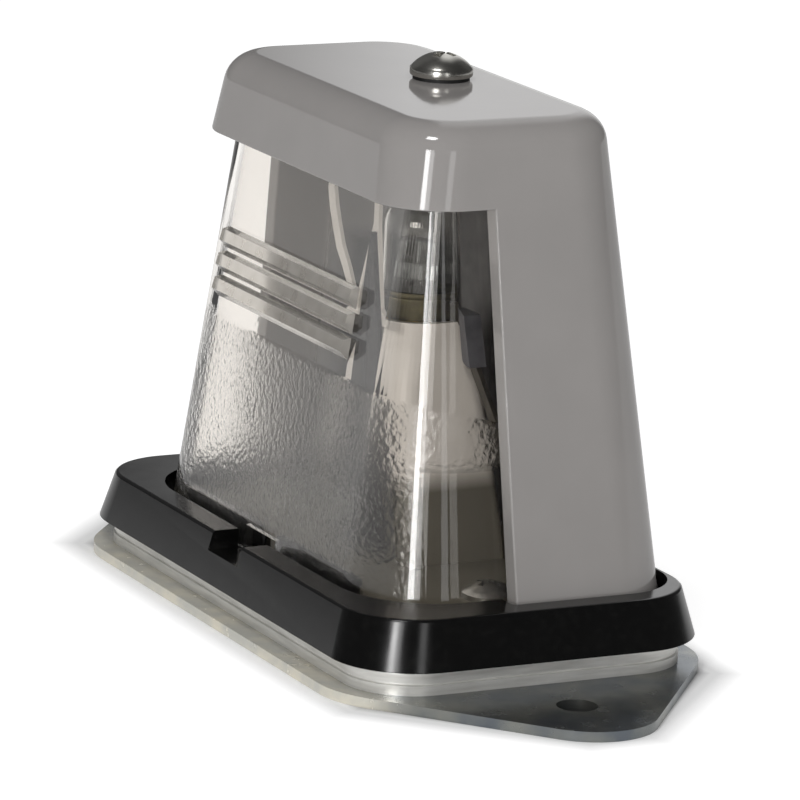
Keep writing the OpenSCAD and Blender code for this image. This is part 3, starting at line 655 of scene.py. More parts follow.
class LAMP_OT_hood(bpy.types.Operator):
    """Grey hood with its visor and side walls"""

    bl_idname = "lamp.hood"
    bl_label = "Hood"

    def execute(self, context):
        s = context.scene.lamp_hood
        shoulder = HOOD_TOP - s.edge
        rings = [hood_ring(SEAT + (shoulder - SEAT) * i / 8, 0) for i in range(9)]
        for i in range(1, 9):
            a = math.radians(90 * i / 8)
            z = shoulder + s.edge * math.sin(a)
            rings.append(hood_ring(z, s.edge * (1 - math.cos(a))))
        hood = loft("hood_shell", rings)
        inner_top = HOOD_TOP - s.wall
        inner = [hood_ring(SEAT - MM, s.wall), hood_ring(inner_top - 2 * MM, s.wall)]
        for i in range(1, 5):
            a = math.radians(90 * i / 4)
            inner.append(hood_ring(inner_top - 2 * MM * (1 - math.sin(a)),
                                   s.wall + 2 * MM * (1 - math.cos(a))))
        cut(hood, loft("hood_hollow", inner))
        boss, bore, boss_foot = 5.5 * MM, 2.75 * MM, LENS_HIGH.z
        join(hood, disc("boss", 0, SCREW_Y, boss_foot, HOOD_TOP - MM, boss, 48))
        cut(hood, disc("screw_way", 0, SCREW_Y, boss_foot - MM, HOOD_TOP + MM, bore, 32))
        # The side walls' front edges run on straight to below the frame's top.
        visor, below = HOOD_TOP - s.visor, 6 * MM
        foot = FRAME_TOP - below
        foot_y = -s.side_foot - (s.side_foot - s.side_top) * below / (visor - FRAME_TOP)
        opening = [(-FAR, foot), (foot_y, foot), (-s.side_top, visor), (-FAR, visor)]
        cut(hood, prism("open_front", opening, -FAR, FAR, "X"))
        soften(hood, 0.3 * MM, 3, 40)
        settle(hood, moulded_abs(s.colour), "hood_plastic", "hood")
        # The faces inside the hood take the matt ABS with its painted shade.
        hood.data.materials.append(inner_abs_painted_shade(s.colour))
        for face in hood.data.polygons:
            deep = depth_behind(face.center, *hood_at(face.center.z), s.corner) > 0.7 * s.wall
            face.material_index = int(deep and face.center.z < HOOD_TOP - 0.7 * s.wall)
        return {"FINISHED"}


class LAMP_OT_lens(bpy.types.Operator):
    """Clear lens with its prism bars"""

    bl_idname = "lamp.lens"
    bl_label = "Lens"

    def execute(self, context):
        s = context.scene.lamp_lens
        top = LENS_HIGH.z
        under_web = top - s.web
        rows = [SEAT, SEAT + 0.6 * MM] + [SEAT + (top - SEAT) * i / 8 for i in range(1, 8)]
        rows += [top - 0.6 * MM, top]
        lens = loft("lens_body", [lens_ring(z, 0) for z in rows])
        cut(lens, loft("lens_hollow", [lens_ring(SEAT - MM, s.wall), lens_ring(under_web, s.wall)]))
        web_back, web_hole = 11.2 * MM, 3 * MM
        cut(lens, box_solid("behind", (-FAR, s.reach, 0), (FAR, FAR, under_web)),
            box_solid("behind_web", (-FAR, web_back, under_web - MM), (FAR, FAR, top + MM)),
            disc("web_hole", 0, SCREW_Y, under_web - MM, top + MM, web_hole, 32))
        # A window in the front of the lens's foot, behind the frame's drain notch.
        notch = context.scene.lamp_base.notch / 2
        cut(lens, box_solid("drain", (-notch, -FAR, 0), (notch, -18 * MM, FRAME_TOP + 0.5 * MM)))
        lean = math.atan2(lens_at(FRAME_TOP)[1] - lens_at(HOOD_TOP)[1], HOOD_TOP - FRAME_TOP)
        for i in range(s.prisms):
            z = s.prism_top - i * s.prism_pitch
            face = lens_at(z)[1]
            deep, tall = s.prism_depth, s.prism_height
            section = [(0.4 * MM, 0), (-0.15 * MM, 0), (-0.85 * deep, -0.12 * tall),
                       (-deep, -0.66 * tall), (-0.15 * MM, -tall), (0.4 * MM, -tall)]
            turned = [(u * math.cos(lean) + v * math.sin(lean) - face,
                       v * math.cos(lean) - u * math.sin(lean) + z) for u, v in section]
            join(lens, prism("prism_bar", turned, -s.prism_left, s.prism_right, "X"))
        soften(lens, 0.18 * MM, 2, 30)
        settle(lens, polished_pmma(), "lens_plastic", "lens")
        lens.data.materials.append(stippled_pmma(s.clear_above))
        lens.data.materials.append(hazy_pmma())
        for face in lens.data.polygons:
            depth = depth_behind(face.center, *lens_at(face.center.z))
            inside = 0.8 * s.wall < depth < 1.6 * s.wall and face.center.z < under_web - MM
            face.material_index = 2 if depth < -0.05 * MM else int(inside)
        return {"FINISHED"}


def seat_solid(name, extra, low, high):
    """The pocket in the frame that the lens and the hood's walls go down into."""
    hood, lens = bpy.context.scene.lamp_hood, bpy.context.scene.lamp_lens
    hx, front, back = hood_at(FRAME_TOP)
    ahead = prism(name, outline(hx - lens.side_gap + extra, front - lens.setback + extra,
                                lens.foot_corner, lens.foot_corner), low, high)
    middle = prism("middle", outline(hx + extra, hood.side_foot + extra, hood.corner, MM, 4),
                   low, high)
    behind = prism("behind", outline(hx + extra, 0, hood.foot_back + extra, hood.corner),
                   low, high)
    return join(ahead, middle, behind)


class LAMP_OT_frame(bpy.types.Operator):
    """Black frame with its ledge, notch and inner lip"""

    bl_idname = "lamp.frame"
    bl_label = "Frame"

    def execute(self, context):
        s, lens = context.scene.lamp_base, context.scene.lamp_lens
        hx, hy = FRAME_HIGH.x, FRAME_HIGH.y
        edge = s.frame_edge
        levels = ((TRAY_TOP, 0.3 * edge), (TRAY_TOP + 0.3 * edge, 0),
                  (FRAME_TOP - edge, s.frame_lean * 0.93),
                  (FRAME_TOP - 0.3 * edge, s.frame_lean + 0.3 * edge),
                  (FRAME_TOP, s.frame_lean + edge))
        rings = [at_height(outline(hx - i, hy - i, hy - i, s.frame_corner - i / 2, 20), z)
                 for z, i in levels]
        body = loft("frame_body", rings)
        floor = SEAT - 1.2 * MM
        cut(body, seat_solid("seat", s.seat_room, floor, FRAME_TOP + 5 * MM))
        lens_front = hood_at(FRAME_TOP)[1] - lens.setback
        cut(body, box_solid("notch", (-s.notch / 2, -2 * hy, FRAME_TOP - s.notch_depth),
                            (s.notch / 2, -lens_front, FRAME_TOP + 5 * MM)),
            prism("floor_opening", outline(25 * MM, 15.7 * MM, 20.2 * MM, 4 * MM),
                  TRAY_TOP - MM, FRAME_TOP))
        # The lip behind the lens's foot is in two lengths, with a gap at the middle.
        lip_front = lens_front - lens.wall - 0.3 * MM
        lip_x = hood_at(FRAME_TOP)[0] - lens.side_gap - lens.wall - lens.foot_corner + 3 * MM
        half_gap, half_lip = 3 * MM, 0.8 * MM
        for side in (-1, 1):
            lip = prism("lip", outline((lip_x - half_gap) / 2, half_lip, half_lip, 0.7 * MM, 6),
                        floor - 0.5 * MM, FRAME_HIGH.z)
            lip.data.transform(Matrix.Translation((side * (lip_x + half_gap) / 2,
                                                   -lip_front + half_lip, 0)))
            join(body, lip)
            cut(body, disc("screw_way", side * SCREW_X, 0, TRAY_TOP - MM, FRAME_TOP, SCREW_WAY))
        cut(body, disc("grommet_way", CABLE_X, CABLE_Y, TRAY_TOP - MM, FRAME_TOP, 6.8 * MM))
        soften(body, 0.12 * MM, 2, 40)
        settle(body, black_polyamide(), "frame_plastic", "base_frame")
        return {"FINISHED"}


class LAMP_OT_tray(bpy.types.Operator):
    """Pressed tray between the plate and the frame"""

    bl_idname = "lamp.tray"
    bl_label = "Tray"

    def execute(self, context):
        s = context.scene.lamp_base
        hx, hy = TRAY_HIGH.x, TRAY_HIGH.y
        low, high = TRAY_LOW.z, TRAY_HIGH.z
        sheet, bend = 1 * MM, 0.8 * MM
        groove = low + 1.45 * MM
        levels = [(low, 0), (groove, 0), (groove + 0.15 * MM, 0.3 * MM),
                  (groove + 0.4 * MM, 0.3 * MM), (groove + 0.5 * MM, 0.08 * MM)]
        levels += [(high - bend + bend * math.sin(math.radians(a)),
                    bend * (1 - math.cos(math.radians(a)))) for a in range(0, 91, 15)]
        tray = loft("tray_pan", [
            at_height(outline(hx - i, hy - i, hy - i, s.tray_corner - i, 20), z)
            for z, i in levels])
        cut(tray, prism("tray_hollow", outline(hx - sheet, hy - sheet, hy - sheet,
                                               s.tray_corner - sheet, 20), low - MM, high - sheet))
        column, seat, tapped = 4.5 * MM, 3.5 * MM, 2.0 * MM
        for side in (-1, 1):
            rivet, screw = side * RIVET_X, side * SCREW_X
            join(tray, disc("column", rivet, 0, low, high - sheet * 0.5, column),
                 disc("column", screw, 0, low, high - sheet * 0.5, column))
            cut(tray, disc("way", rivet, 0, low - MM, high + MM, RIVET_WAY),
                disc("seat", rivet, 0, high - sheet, high + MM, seat),
                disc("way", screw, 0, low - MM, high + MM, tapped))
        cut(tray, disc("cable_way", CABLE_X, CABLE_Y, low - MM, high + MM, CABLE_WAY, 48))
        soften(tray, 0, 1, 35)
        settle(tray, drawn_tinplate(), "tray_metal", "base_tray")
        return {"FINISHED"}


def plate_outline(s):
    """Outline of the plate: round corners that run tangent into the two ears."""
    cx, cy = s.plate_half_x - s.plate_corner, PLATE_HIGH.y - s.plate_corner
    ear_x = s.ear_spacing / 2 + s.ear_tip - s.ear_end
    dx = ear_x - cx
    reach = math.hypot(dx, cy)
    tilt = math.atan2(cy, dx) + math.asin((s.plate_corner - s.ear_end) / reach)
    # Where the ear's round end meets the straight side, as an angle from the X axis.
    meet = math.pi / 2 - tilt
    steps = 16
    right = []
    for i in range(steps + 1):
        a = meet * i / steps
        right.append((ear_x + s.ear_end * math.cos(a), s.ear_end * math.sin(a)))
    for i in range(steps + 1):
        a = meet + (math.pi / 2 - meet) * i / steps
        right.append((cx + s.plate_corner * math.cos(a), cy + s.plate_corner * math.sin(a)))
    left = [(-x, y) for x, y in reversed(right)]
    lower_left = [(-x, -y) for x, y in right[1:]]
    lower_right = [(x, -y) for x, y in reversed(right[1:])]
    return right + left + lower_left + lower_right


class LAMP_OT_plate(bpy.types.Operator):
    """Zinc-plated base plate with its ears"""

    bl_idname = "lamp.plate"
    bl_label = "Base plate"

    def execute(self, context):
        s = context.scene.lamp_base
        top = PLATE_HIGH.z
        plate = prism("plate_sheet", plate_outline(s), 0, top)
        for side in (-1, 1):
            cut(plate, disc("ear_hole", side * s.ear_spacing / 2, 0, -MM, top + MM,
                            s.ear_hole / 2, 48),
                disc("rivet_way", side * RIVET_X, 0, -MM, top + MM, RIVET_WAY),
                disc("rivet_seat", side * RIVET_X, 0, -MM, top / 2, 3.15 * MM),
                disc("screw_way", side * SCREW_X, 0, -MM, top + MM, SCREW_WAY))
        cut(plate, disc("cable_way", CABLE_X, CABLE_Y, -MM, top + MM, CABLE_WAY, 48))
        soften(plate, 0.32 * MM, 3, 40)
        settle(plate, zinc_plated_sheet(), "zinc_sheet", "base_plate")
        return {"FINISHED"}


def pan_profile(head_radius, head_height, shank_radius, length):
    """Half outline of a pan head with its shank, standing on height 0."""
    edge = 0.33 * head_height
    dome = head_height - edge
    ball = (head_radius ** 2 + dome ** 2) / (2 * dome)
    points = [(0, -length), (shank_radius * 0.7, -length), (shank_radius, -length + 0.8 * MM),
              (shank_radius, 0), (head_radius - 0.35 * MM, 0), (head_radius - 0.1 * MM, 0.08 * MM),
              (head_radius, 0.3 * MM)]
    for i in range(0, 13):
        r = head_radius * (1 - i / 12)
        points.append((r, head_height - ball + math.sqrt(ball ** 2 - r ** 2)))
    return points


class LAMP_OT_cover_screw(bpy.types.Operator):
    """Pan-head screw with its cross recess"""

    bl_idname = "lamp.cover_screw"
    bl_label = "Cover screw"

    def execute(self, context):
        head = 4.7 * MM
        base = SCREW_HIGH.z - 3.5 * MM
        screw = lathe("cover_screw_head", pan_profile(head, SCREW_HIGH.z - base, 2.45 * MM,
                                                      base - SCREW_LOW.z),
                      (0, SCREW_Y, base), 64)
        half, thin, deep, turn = 2.5 * MM, 0.62 * MM, 2.0 * MM, 38
        for k in range(2):
            wing = loft("wing", [
                at_height(outline(0.9 * MM, 0.3 * MM, 0.3 * MM, 0.1 * MM, 3), -deep),
                at_height(outline(half, thin, thin, 0.3 * MM, 3), 0.6 * MM)])
            wing.data.transform(Matrix.Translation((0, SCREW_Y, SCREW_HIGH.z - 0.4 * MM))
                                @ Matrix.Rotation(math.radians(turn + 90 * k), 4, "Z"))
            cut(screw, wing)
        soften(screw, 0.07 * MM, 2, 45)
        settle(screw, plain_metal("nickel_plated_steel", "#b9b7b1", "#d6d4ce", 1.0, 0.24, 4.0),
               "screw_plating", "cover_screw")
        return {"FINISHED"}


class LAMP_OT_carrier(bpy.types.Operator):
    """Off-white carrier: floor, pedestal and ribs before the bulb"""

    bl_idname = "lamp.carrier"
    bl_label = "Carrier"

    def execute(self, context):
        floor, deck = CARRIER_LOW.z, CARRIER_LOW.z + 1.6 * MM
        top = SHELL_HIGH.z
        front, back, back_foot = 4.2 * MM, 10.4 * MM, 13.4 * MM
        half_foot, half_shelf = 13 * MM, 7.5 * MM
        carrier = prism("carrier_moulding", outline(CARRIER_HIGH.x, -CARRIER_LOW.y,
                                                    CARRIER_HIGH.y, 5 * MM), floor, deck)
        pedestal = loft("pedestal", [
            at_height(outline(half_foot, front, back_foot, 1.5 * MM, 16), deck - 0.5 * MM),
            at_height(outline(8.6 * MM, front, back, 3 * MM, 16), top - 9 * MM),
            at_height(outline(7.2 * MM, front, BULB_Y + 6.6 * MM, 5.5 * MM, 16), top - 4 * MM),
            at_height(outline(6.3 * MM, 6.3 * MM - BULB_Y, BULB_Y + 6.3 * MM, 6.2 * MM, 16), top)])
        join(carrier, pedestal)
        wall = 1.6 * MM
        shelf = CAP_LOW.z - 5.2 * MM
        cut(carrier, loft("pedestal_hollow", [
            at_height(outline(half_foot - wall, front - wall, back_foot - wall, MM, 4), floor - MM),
            at_height(outline(half_shelf - wall, front - wall, back - wall, MM, 4),
                      shelf - 1.8 * MM)]),
            disc("lead_way", 0, BULB_Y, shelf - 4 * MM, top, 4 * MM, 48),
            disc("shell_bore", 0, BULB_Y, shelf, top + MM, 5.35 * MM, 64),
            disc("grommet_way", CABLE_X, CABLE_Y, floor - MM, deck + MM, 3 * MM))
        for side in (-1, 1):
            cut(carrier, disc("screw_way", side * SCREW_X, 0, floor - MM, deck + MM, SCREW_WAY))
        join(carrier, *self.ribs(top))
        soften(carrier, 0.2 * MM, 2, 38)
        settle(carrier, offwhite_pbt(), "carrier_plastic", "carrier")
        return {"FINISHED"}

    def ribs(self, top):
        """A mast that forks into two legs round the blade, and a bow at its left."""
        low, high = -4.2 * MM, -3.6 * MM
        rib, mast, middle = 0.8 * MM, 0.8 * MM, 1.4 * MM
        blade_tip = BLADE_HIGH.z + 1.2 * MM
        tip = blade_tip - 1.5 * MM
        fork, foot = top + 2 * MM, top - 0.5 * MM
        spread = 9 * MM * (blade_tip - fork) / (blade_tip - BLADE_BEND)
        ceiling = CARRIER_HIGH.z
        outer = 12.8 * MM
        made = [prism("mast", [(middle - mast, tip - 2 * MM), (middle + mast, tip - 2 * MM),
                               (middle + mast, ceiling), (middle - mast, ceiling)],
                      low, high, "Y"),
                prism("cross_bar", [(-outer - rib, ceiling - rib), (mast, ceiling - rib),
                                    (mast, ceiling), (-outer - rib, ceiling)], low, high, "Y")]
        bow = [(spread + rib - 0.3 * MM, fork - MM), (outer - 5.6 * MM, fork + 4.2 * MM),
               (outer - 3.4 * MM, 53.8 * MM), (outer - 1.8 * MM, 57 * MM),
               (outer - 0.7 * MM, 59.6 * MM), (outer, 62 * MM), (outer, ceiling),
               (outer + rib, ceiling), (outer + 2.1 * MM, 61.5 * MM),
               (outer + 1.4 * MM, 59 * MM), (outer + 0.3 * MM, 56.3 * MM),
               (outer - 1.4 * MM, 53 * MM), (outer - 3.6 * MM, fork + 3.6 * MM),
               (spread + rib + 0.6 * MM, fork - 2 * MM)]
        for side in (-1, 1):
            shift = side * middle
            leg = [(shift, tip), (spread, fork), (spread, foot), (7.5 * MM, foot),
                   (spread + rib, fork), (shift + mast, tip), (shift, tip + MM)]
            made.append(prism("leg", [(side * x, z) for x, z in leg], low, high, "Y"))
            if side < 0:
                made.append(prism("bow", [(-x, z) for x, z in bow], low, high, "Y"))
        return made


class LAMP_OT_bulb(bpy.types.Operator):
    """Bulb: glass, cap, stem and filament"""

    bl_idname = "lamp.bulb"
    bl_label = "Bulb"

    def execute(self, context):
        radius, wall = GLASS_HIGH.x, 0.5 * MM
        low, high = GLASS_LOW.z, GLASS_HIGH.z
        outer, inner = [], []
        for i in range(0, 13):
            a = math.radians(90 * i / 12)
            outer.append((radius * math.cos(a), high - radius + radius * math.sin(a)))
            inner.append(((radius - wall) * math.cos(a),
                          high - radius + (radius - wall) * math.sin(a)))
        outer[-1] = (0, high)
        inner[-1] = (0, high - wall)
        profile = [(0, low), (radius - 0.3 * MM, low), (radius, low + 0.3 * MM)] + outer
        hollow = [(0, low + wall), (radius - wall, low + wall)] + inner
        glass = lathe("bulb_envelope", profile, (0, BULB_Y, 0), 64)
        cut(glass, lathe("bulb_hollow", hollow, (0, BULB_Y, 0), 64))
        soften(glass, 0, 1, 40)
        settle(glass, blown_glass("soda_glass_blown", "#f2f4f4", 0.85), "bulb_glass", "bulb_glass")
        cap_radius = 4.5 * MM
        lip = CAP_HIGH.z
        cap_profile = [(0, CAP_LOW.z), (2.6 * MM, CAP_LOW.z), (3.6 * MM, CAP_LOW.z + 0.5 * MM),
                       (cap_radius, CAP_LOW.z + 1.2 * MM), (cap_radius, lip - 1.2 * MM),
                       (cap_radius - 0.12 * MM, lip - 0.9 * MM), (cap_radius, lip - 0.6 * MM),
                       (cap_radius, lip - 0.15 * MM), (cap_radius - 0.1 * MM, lip),
                       (radius + 0.03 * MM, lip), (radius + 0.03 * MM, lip - 2 * MM),
                       (0, lip - 2 * MM)]
        cap = lathe("bulb_cap_shell", cap_profile, (0, BULB_Y, 0), 64)
        pin_z = SHELL_HIGH.z - 4 * MM
        for side in (-1, 1):
            pin = lathe("pin", [(0, 0), (0.8 * MM, 0), (0.8 * MM, 0.8 * MM), (0.6 * MM, MM),
                                (0, MM)], (0, 0, 0), 24)
            pin.data.transform(Matrix.Translation((side * (cap_radius - 0.3 * MM), BULB_Y, pin_z))
                               @ Matrix.Rotation(side * math.pi / 2, 4, "Y"))
            join(cap, pin)
        soften(cap, 0, 1, 35)
        # The cap's brass is painted dark olive as painted shade.
        settle(cap, plain_metal("brass_cap_dull_painted_shade", "#413e31", "#5c5743", 0.8, 0.5, 1.5),
               "cap_brass", "bulb_cap")
        self.stem(low + wall)
        return {"FINISHED"}

    def stem(self, low):
        """Glass stem with its two wires and the filament, from a height upwards."""
        flare = [(0, 0), (2.25 * MM, 0), (2.1 * MM, 0.8 * MM), (1.5 * MM, 2 * MM),
                 (1.25 * MM, 2.8 * MM), (0, 2.8 * MM)]
        stem = lathe("bulb_stem_pinch", flare, (0, BULB_Y, low), 40)
        pinch = prism("pinch", outline(1.7 * MM, 0.7 * MM, 0.7 * MM, 0.5 * MM, 6),
                      low + 2.2 * MM, low + 5.2 * MM)
        pinch.data.transform(Matrix.Translation((0, BULB_Y, 0)))
        join(stem, pinch)
        for side in (-1, 1):
            join(stem, disc("wire", side * 1.2 * MM, BULB_Y, low + 4 * MM, low + 9 * MM,
                            0.17 * MM, 12))
        soften(stem, 0, 1, 35)
        settle(stem, blown_glass("lead_glass_pinched", "#dfe3e4", 0.7), "stem_glass", "bulb_stem")
        steps, turns = 168, 12
        half_length, radius, wire, height = 1.1 * MM, 0.28 * MM, 0.055 * MM, low + 8.8 * MM
        path = []
        for i in range(steps + 1):
            a = 2 * math.pi * turns * i / steps
            path.append((-half_length + 2 * half_length * i / steps,
                         BULB_Y + radius * math.cos(a), height + radius * math.sin(a)))
        coil = tube("filament_coil", path, wire, 6)
        settle(coil, plain_metal("tungsten_wire", "#55555a", "#77777c", 1.0, 0.35, 0.5),
               "tungsten", "filament")


def tube(name, path, radius, sides):
    """A round wire along points."""
    points = [Vector(p) for p in path]
    rings = []
    normal = Vector((0, 0, 1))
    for i, p in enumerate(points):
        along = (points[min(i + 1, len(points) - 1)] - points[max(i - 1, 0)]).normalized()
        normal = (normal - along * normal.dot(along)).normalized()
        across = along.cross(normal)
        rings.append([tuple(p + radius * (math.cos(a) * normal + math.sin(a) * across))
                      for a in (2 * math.pi * k / sides for k in range(sides))])
    obj = loft(name, rings)
    for face in obj.data.polygons:
        face.use_smooth = len(face.vertices) == 4
    return obj


class LAMP_OT_contacts(bpy.types.Operator):
    """Blade, block and strip"""

    bl_idname = "lamp.contacts"
    bl_label = "Blade and contacts"

    def execute(self, context):
        low, high, bend = BLADE_LOW, BLADE_HIGH, BLADE_BEND
        left, tip, top = -5.5 * MM, 1.5 * MM, high.z - 1.5 * MM
        blade = prism("blade_sheet", [(left, low.z), (high.x, low.z), (high.x, bend),
                                      (tip + 0.3 * MM, top), (tip - 0.3 * MM, top), (left, bend)],
                      low.y, high.y, "Y")
        rib = prism("rib", [(0.4 * MM, 14 * MM), (1.6 * MM, 14 * MM), (1.5 * MM, 54 * MM),
                            (1.2 * MM, 54 * MM)], low.y - 0.12 * MM, low.y + 0.3 * MM, "Y")
        join(blade, rib)
        # The pin's way is a disc laid along Y, 15.8 mm up.
        way = disc("pin_way", 0, 0, low.y - MM, high.y + MM, 1.45 * MM, 24)
        way.data.transform(Matrix(((1, 0, 0, 0), (0, 0, 1, 0), (0, 1, 0, 15.8 * MM),
                                   (0, 0, 0, 1))))
        cut(blade, way)
        soften(blade, 0.1 * MM, 2, 35)
        settle(blade, plain_metal("blued_steel_sheet", "#1c1c1f", "#2a2a2e", 0.3, 0.6, 4.0),
               "blade_steel", "shield_blade")
        low, high = BLOCK_LOW, BLOCK_HIGH
        lean = 1.4 * MM
        deep = high.y - low.y - lean
        block = prism("contact_block_moulding", [
            (low.y, high.z), (low.y + lean, low.z), (high.y, low.z), (low.y + deep, high.z)],
            low.x, high.x, "X")
        arm_end = (13.2 * MM, STRIP_LOW.y + STRIP_SHEET, ARM_HIGH)
        cut(block, prism("slot", self.leg(), STRIP_HIGH.x - STRIP_WIDTH, STRIP_HIGH.x, "X"),
            box_solid("arm_way", (0, STRIP_LOW.y, ARM_LOW), arm_end))
        soften(block, 0.25 * MM, 2, 35)
        settle(block, plain_moulding("grey_phenolic_moulded", "#4b4c52", "#62636a", 0.4, 3.0),
               "block_plastic", "contact_block")
        strip = prism("contact_strip_bent", self.leg(), STRIP_HIGH.x - STRIP_WIDTH, STRIP_HIGH.x,
                      "X")
        join(strip, box_solid("arm", (STRIP_LOW.x, STRIP_LOW.y, ARM_LOW), arm_end))
        soften(strip, 0.12 * MM, 2, 35)
        settle(strip, plain_metal("tinned_brass_strip", "#3f3c36", "#5a564d", 0.8, 0.35, 2.0),
               "contact_metal", "contact_strip")
        return {"FINISHED"}

    def leg(self):
        """Side outline of the strip's leg."""
        y1, y2, y3 = STRIP_LOW.y, STRIP_LOW.y + 2 * MM, STRIP_HIGH.y - STRIP_SHEET
        path = [(y1, STRIP_HIGH.z), (y1, ARM_LOW), (y2, 40.2 * MM), (y3, 24 * MM),
                (y3, STRIP_LOW.z)]
        return path + [(y + STRIP_SHEET, z) for y, z in reversed(path)]


class LAMP_OT_fittings(bpy.types.Operator):
    """Finishes of the small fittings that keep their frame shape"""

    bl_idname = "lamp.fittings"
    bl_label = "Small fittings"

    def execute(self, context):
        rubber = plain_moulding("black_epdm_rubber", "#151515", "#242424", 0.6, 1.5)
        zinc = plain_metal("zinc_plated_screws", "#a3a29d", "#c4c3be", 1.0, 0.3, 2.0)
        rivet = plain_metal("aluminium_rivets", "#b2b1ae", "#cccbc8", 1.0, 0.35, 1.5)
        dark = plain_metal("phosphated_steel_strip", "#4a4a4b", "#656566", 0.8, 0.45, 4.0)
        brass = plain_metal("drawn_brass", "#a48c55", "#c2a970", 1.0, 0.3, 3.0)
        dress(rubber, "lens_seal", "screw_seal", "cable_grommet")
        dress(zinc, "frame_screws", "cover_nut", "contact_spring")
        dress(rivet, "tray_rivets", "bracket_rivets", "blade_rivet")
        dress(dark, "cover_bracket")
        dress(brass, "holder_shell", "centre_contact", "centre_lead")
        dress(plain_moulding("brown_paper_laminate", "#4a2f1c", "#5d3d26", 0.5, 1.0),
              "holder_insulator")
        dress(plain_metal("tin_lead_solder", "#9a9a9a", "#bdbdbd", 1.0, 0.4, 1.0), "bulb_solder")
        return {"FINISHED"}


def soft_box(name, azimuth, elevation, distance, width, height, power, slant):
    """An area light that looks at the lamp. Azimuth 0 is in front, 90 at the right."""
    a, e = math.radians(azimuth), math.radians(elevation)
    light = bpy.data.lights.new(name, "AREA")
    light.shape = "RECTANGLE"
    light.size, light.size_y = width, height
    light.energy = power
    obj = bpy.data.objects.new(name, light)
    bpy.context.scene.collection.objects.link(obj)
    back = Vector((math.sin(a) * math.cos(e), -math.cos(a) * math.cos(e), math.sin(e)))
    obj.location = Vector((0, 0, 40 * MM)) + back * distance
    obj.rotation_mode = "QUATERNION"
    turn = Matrix.Rotation(math.radians(slant), 4, "Z").to_quaternion()
    obj.rotation_quaternion = (-back).to_track_quat("-Z", "Y") @ turn


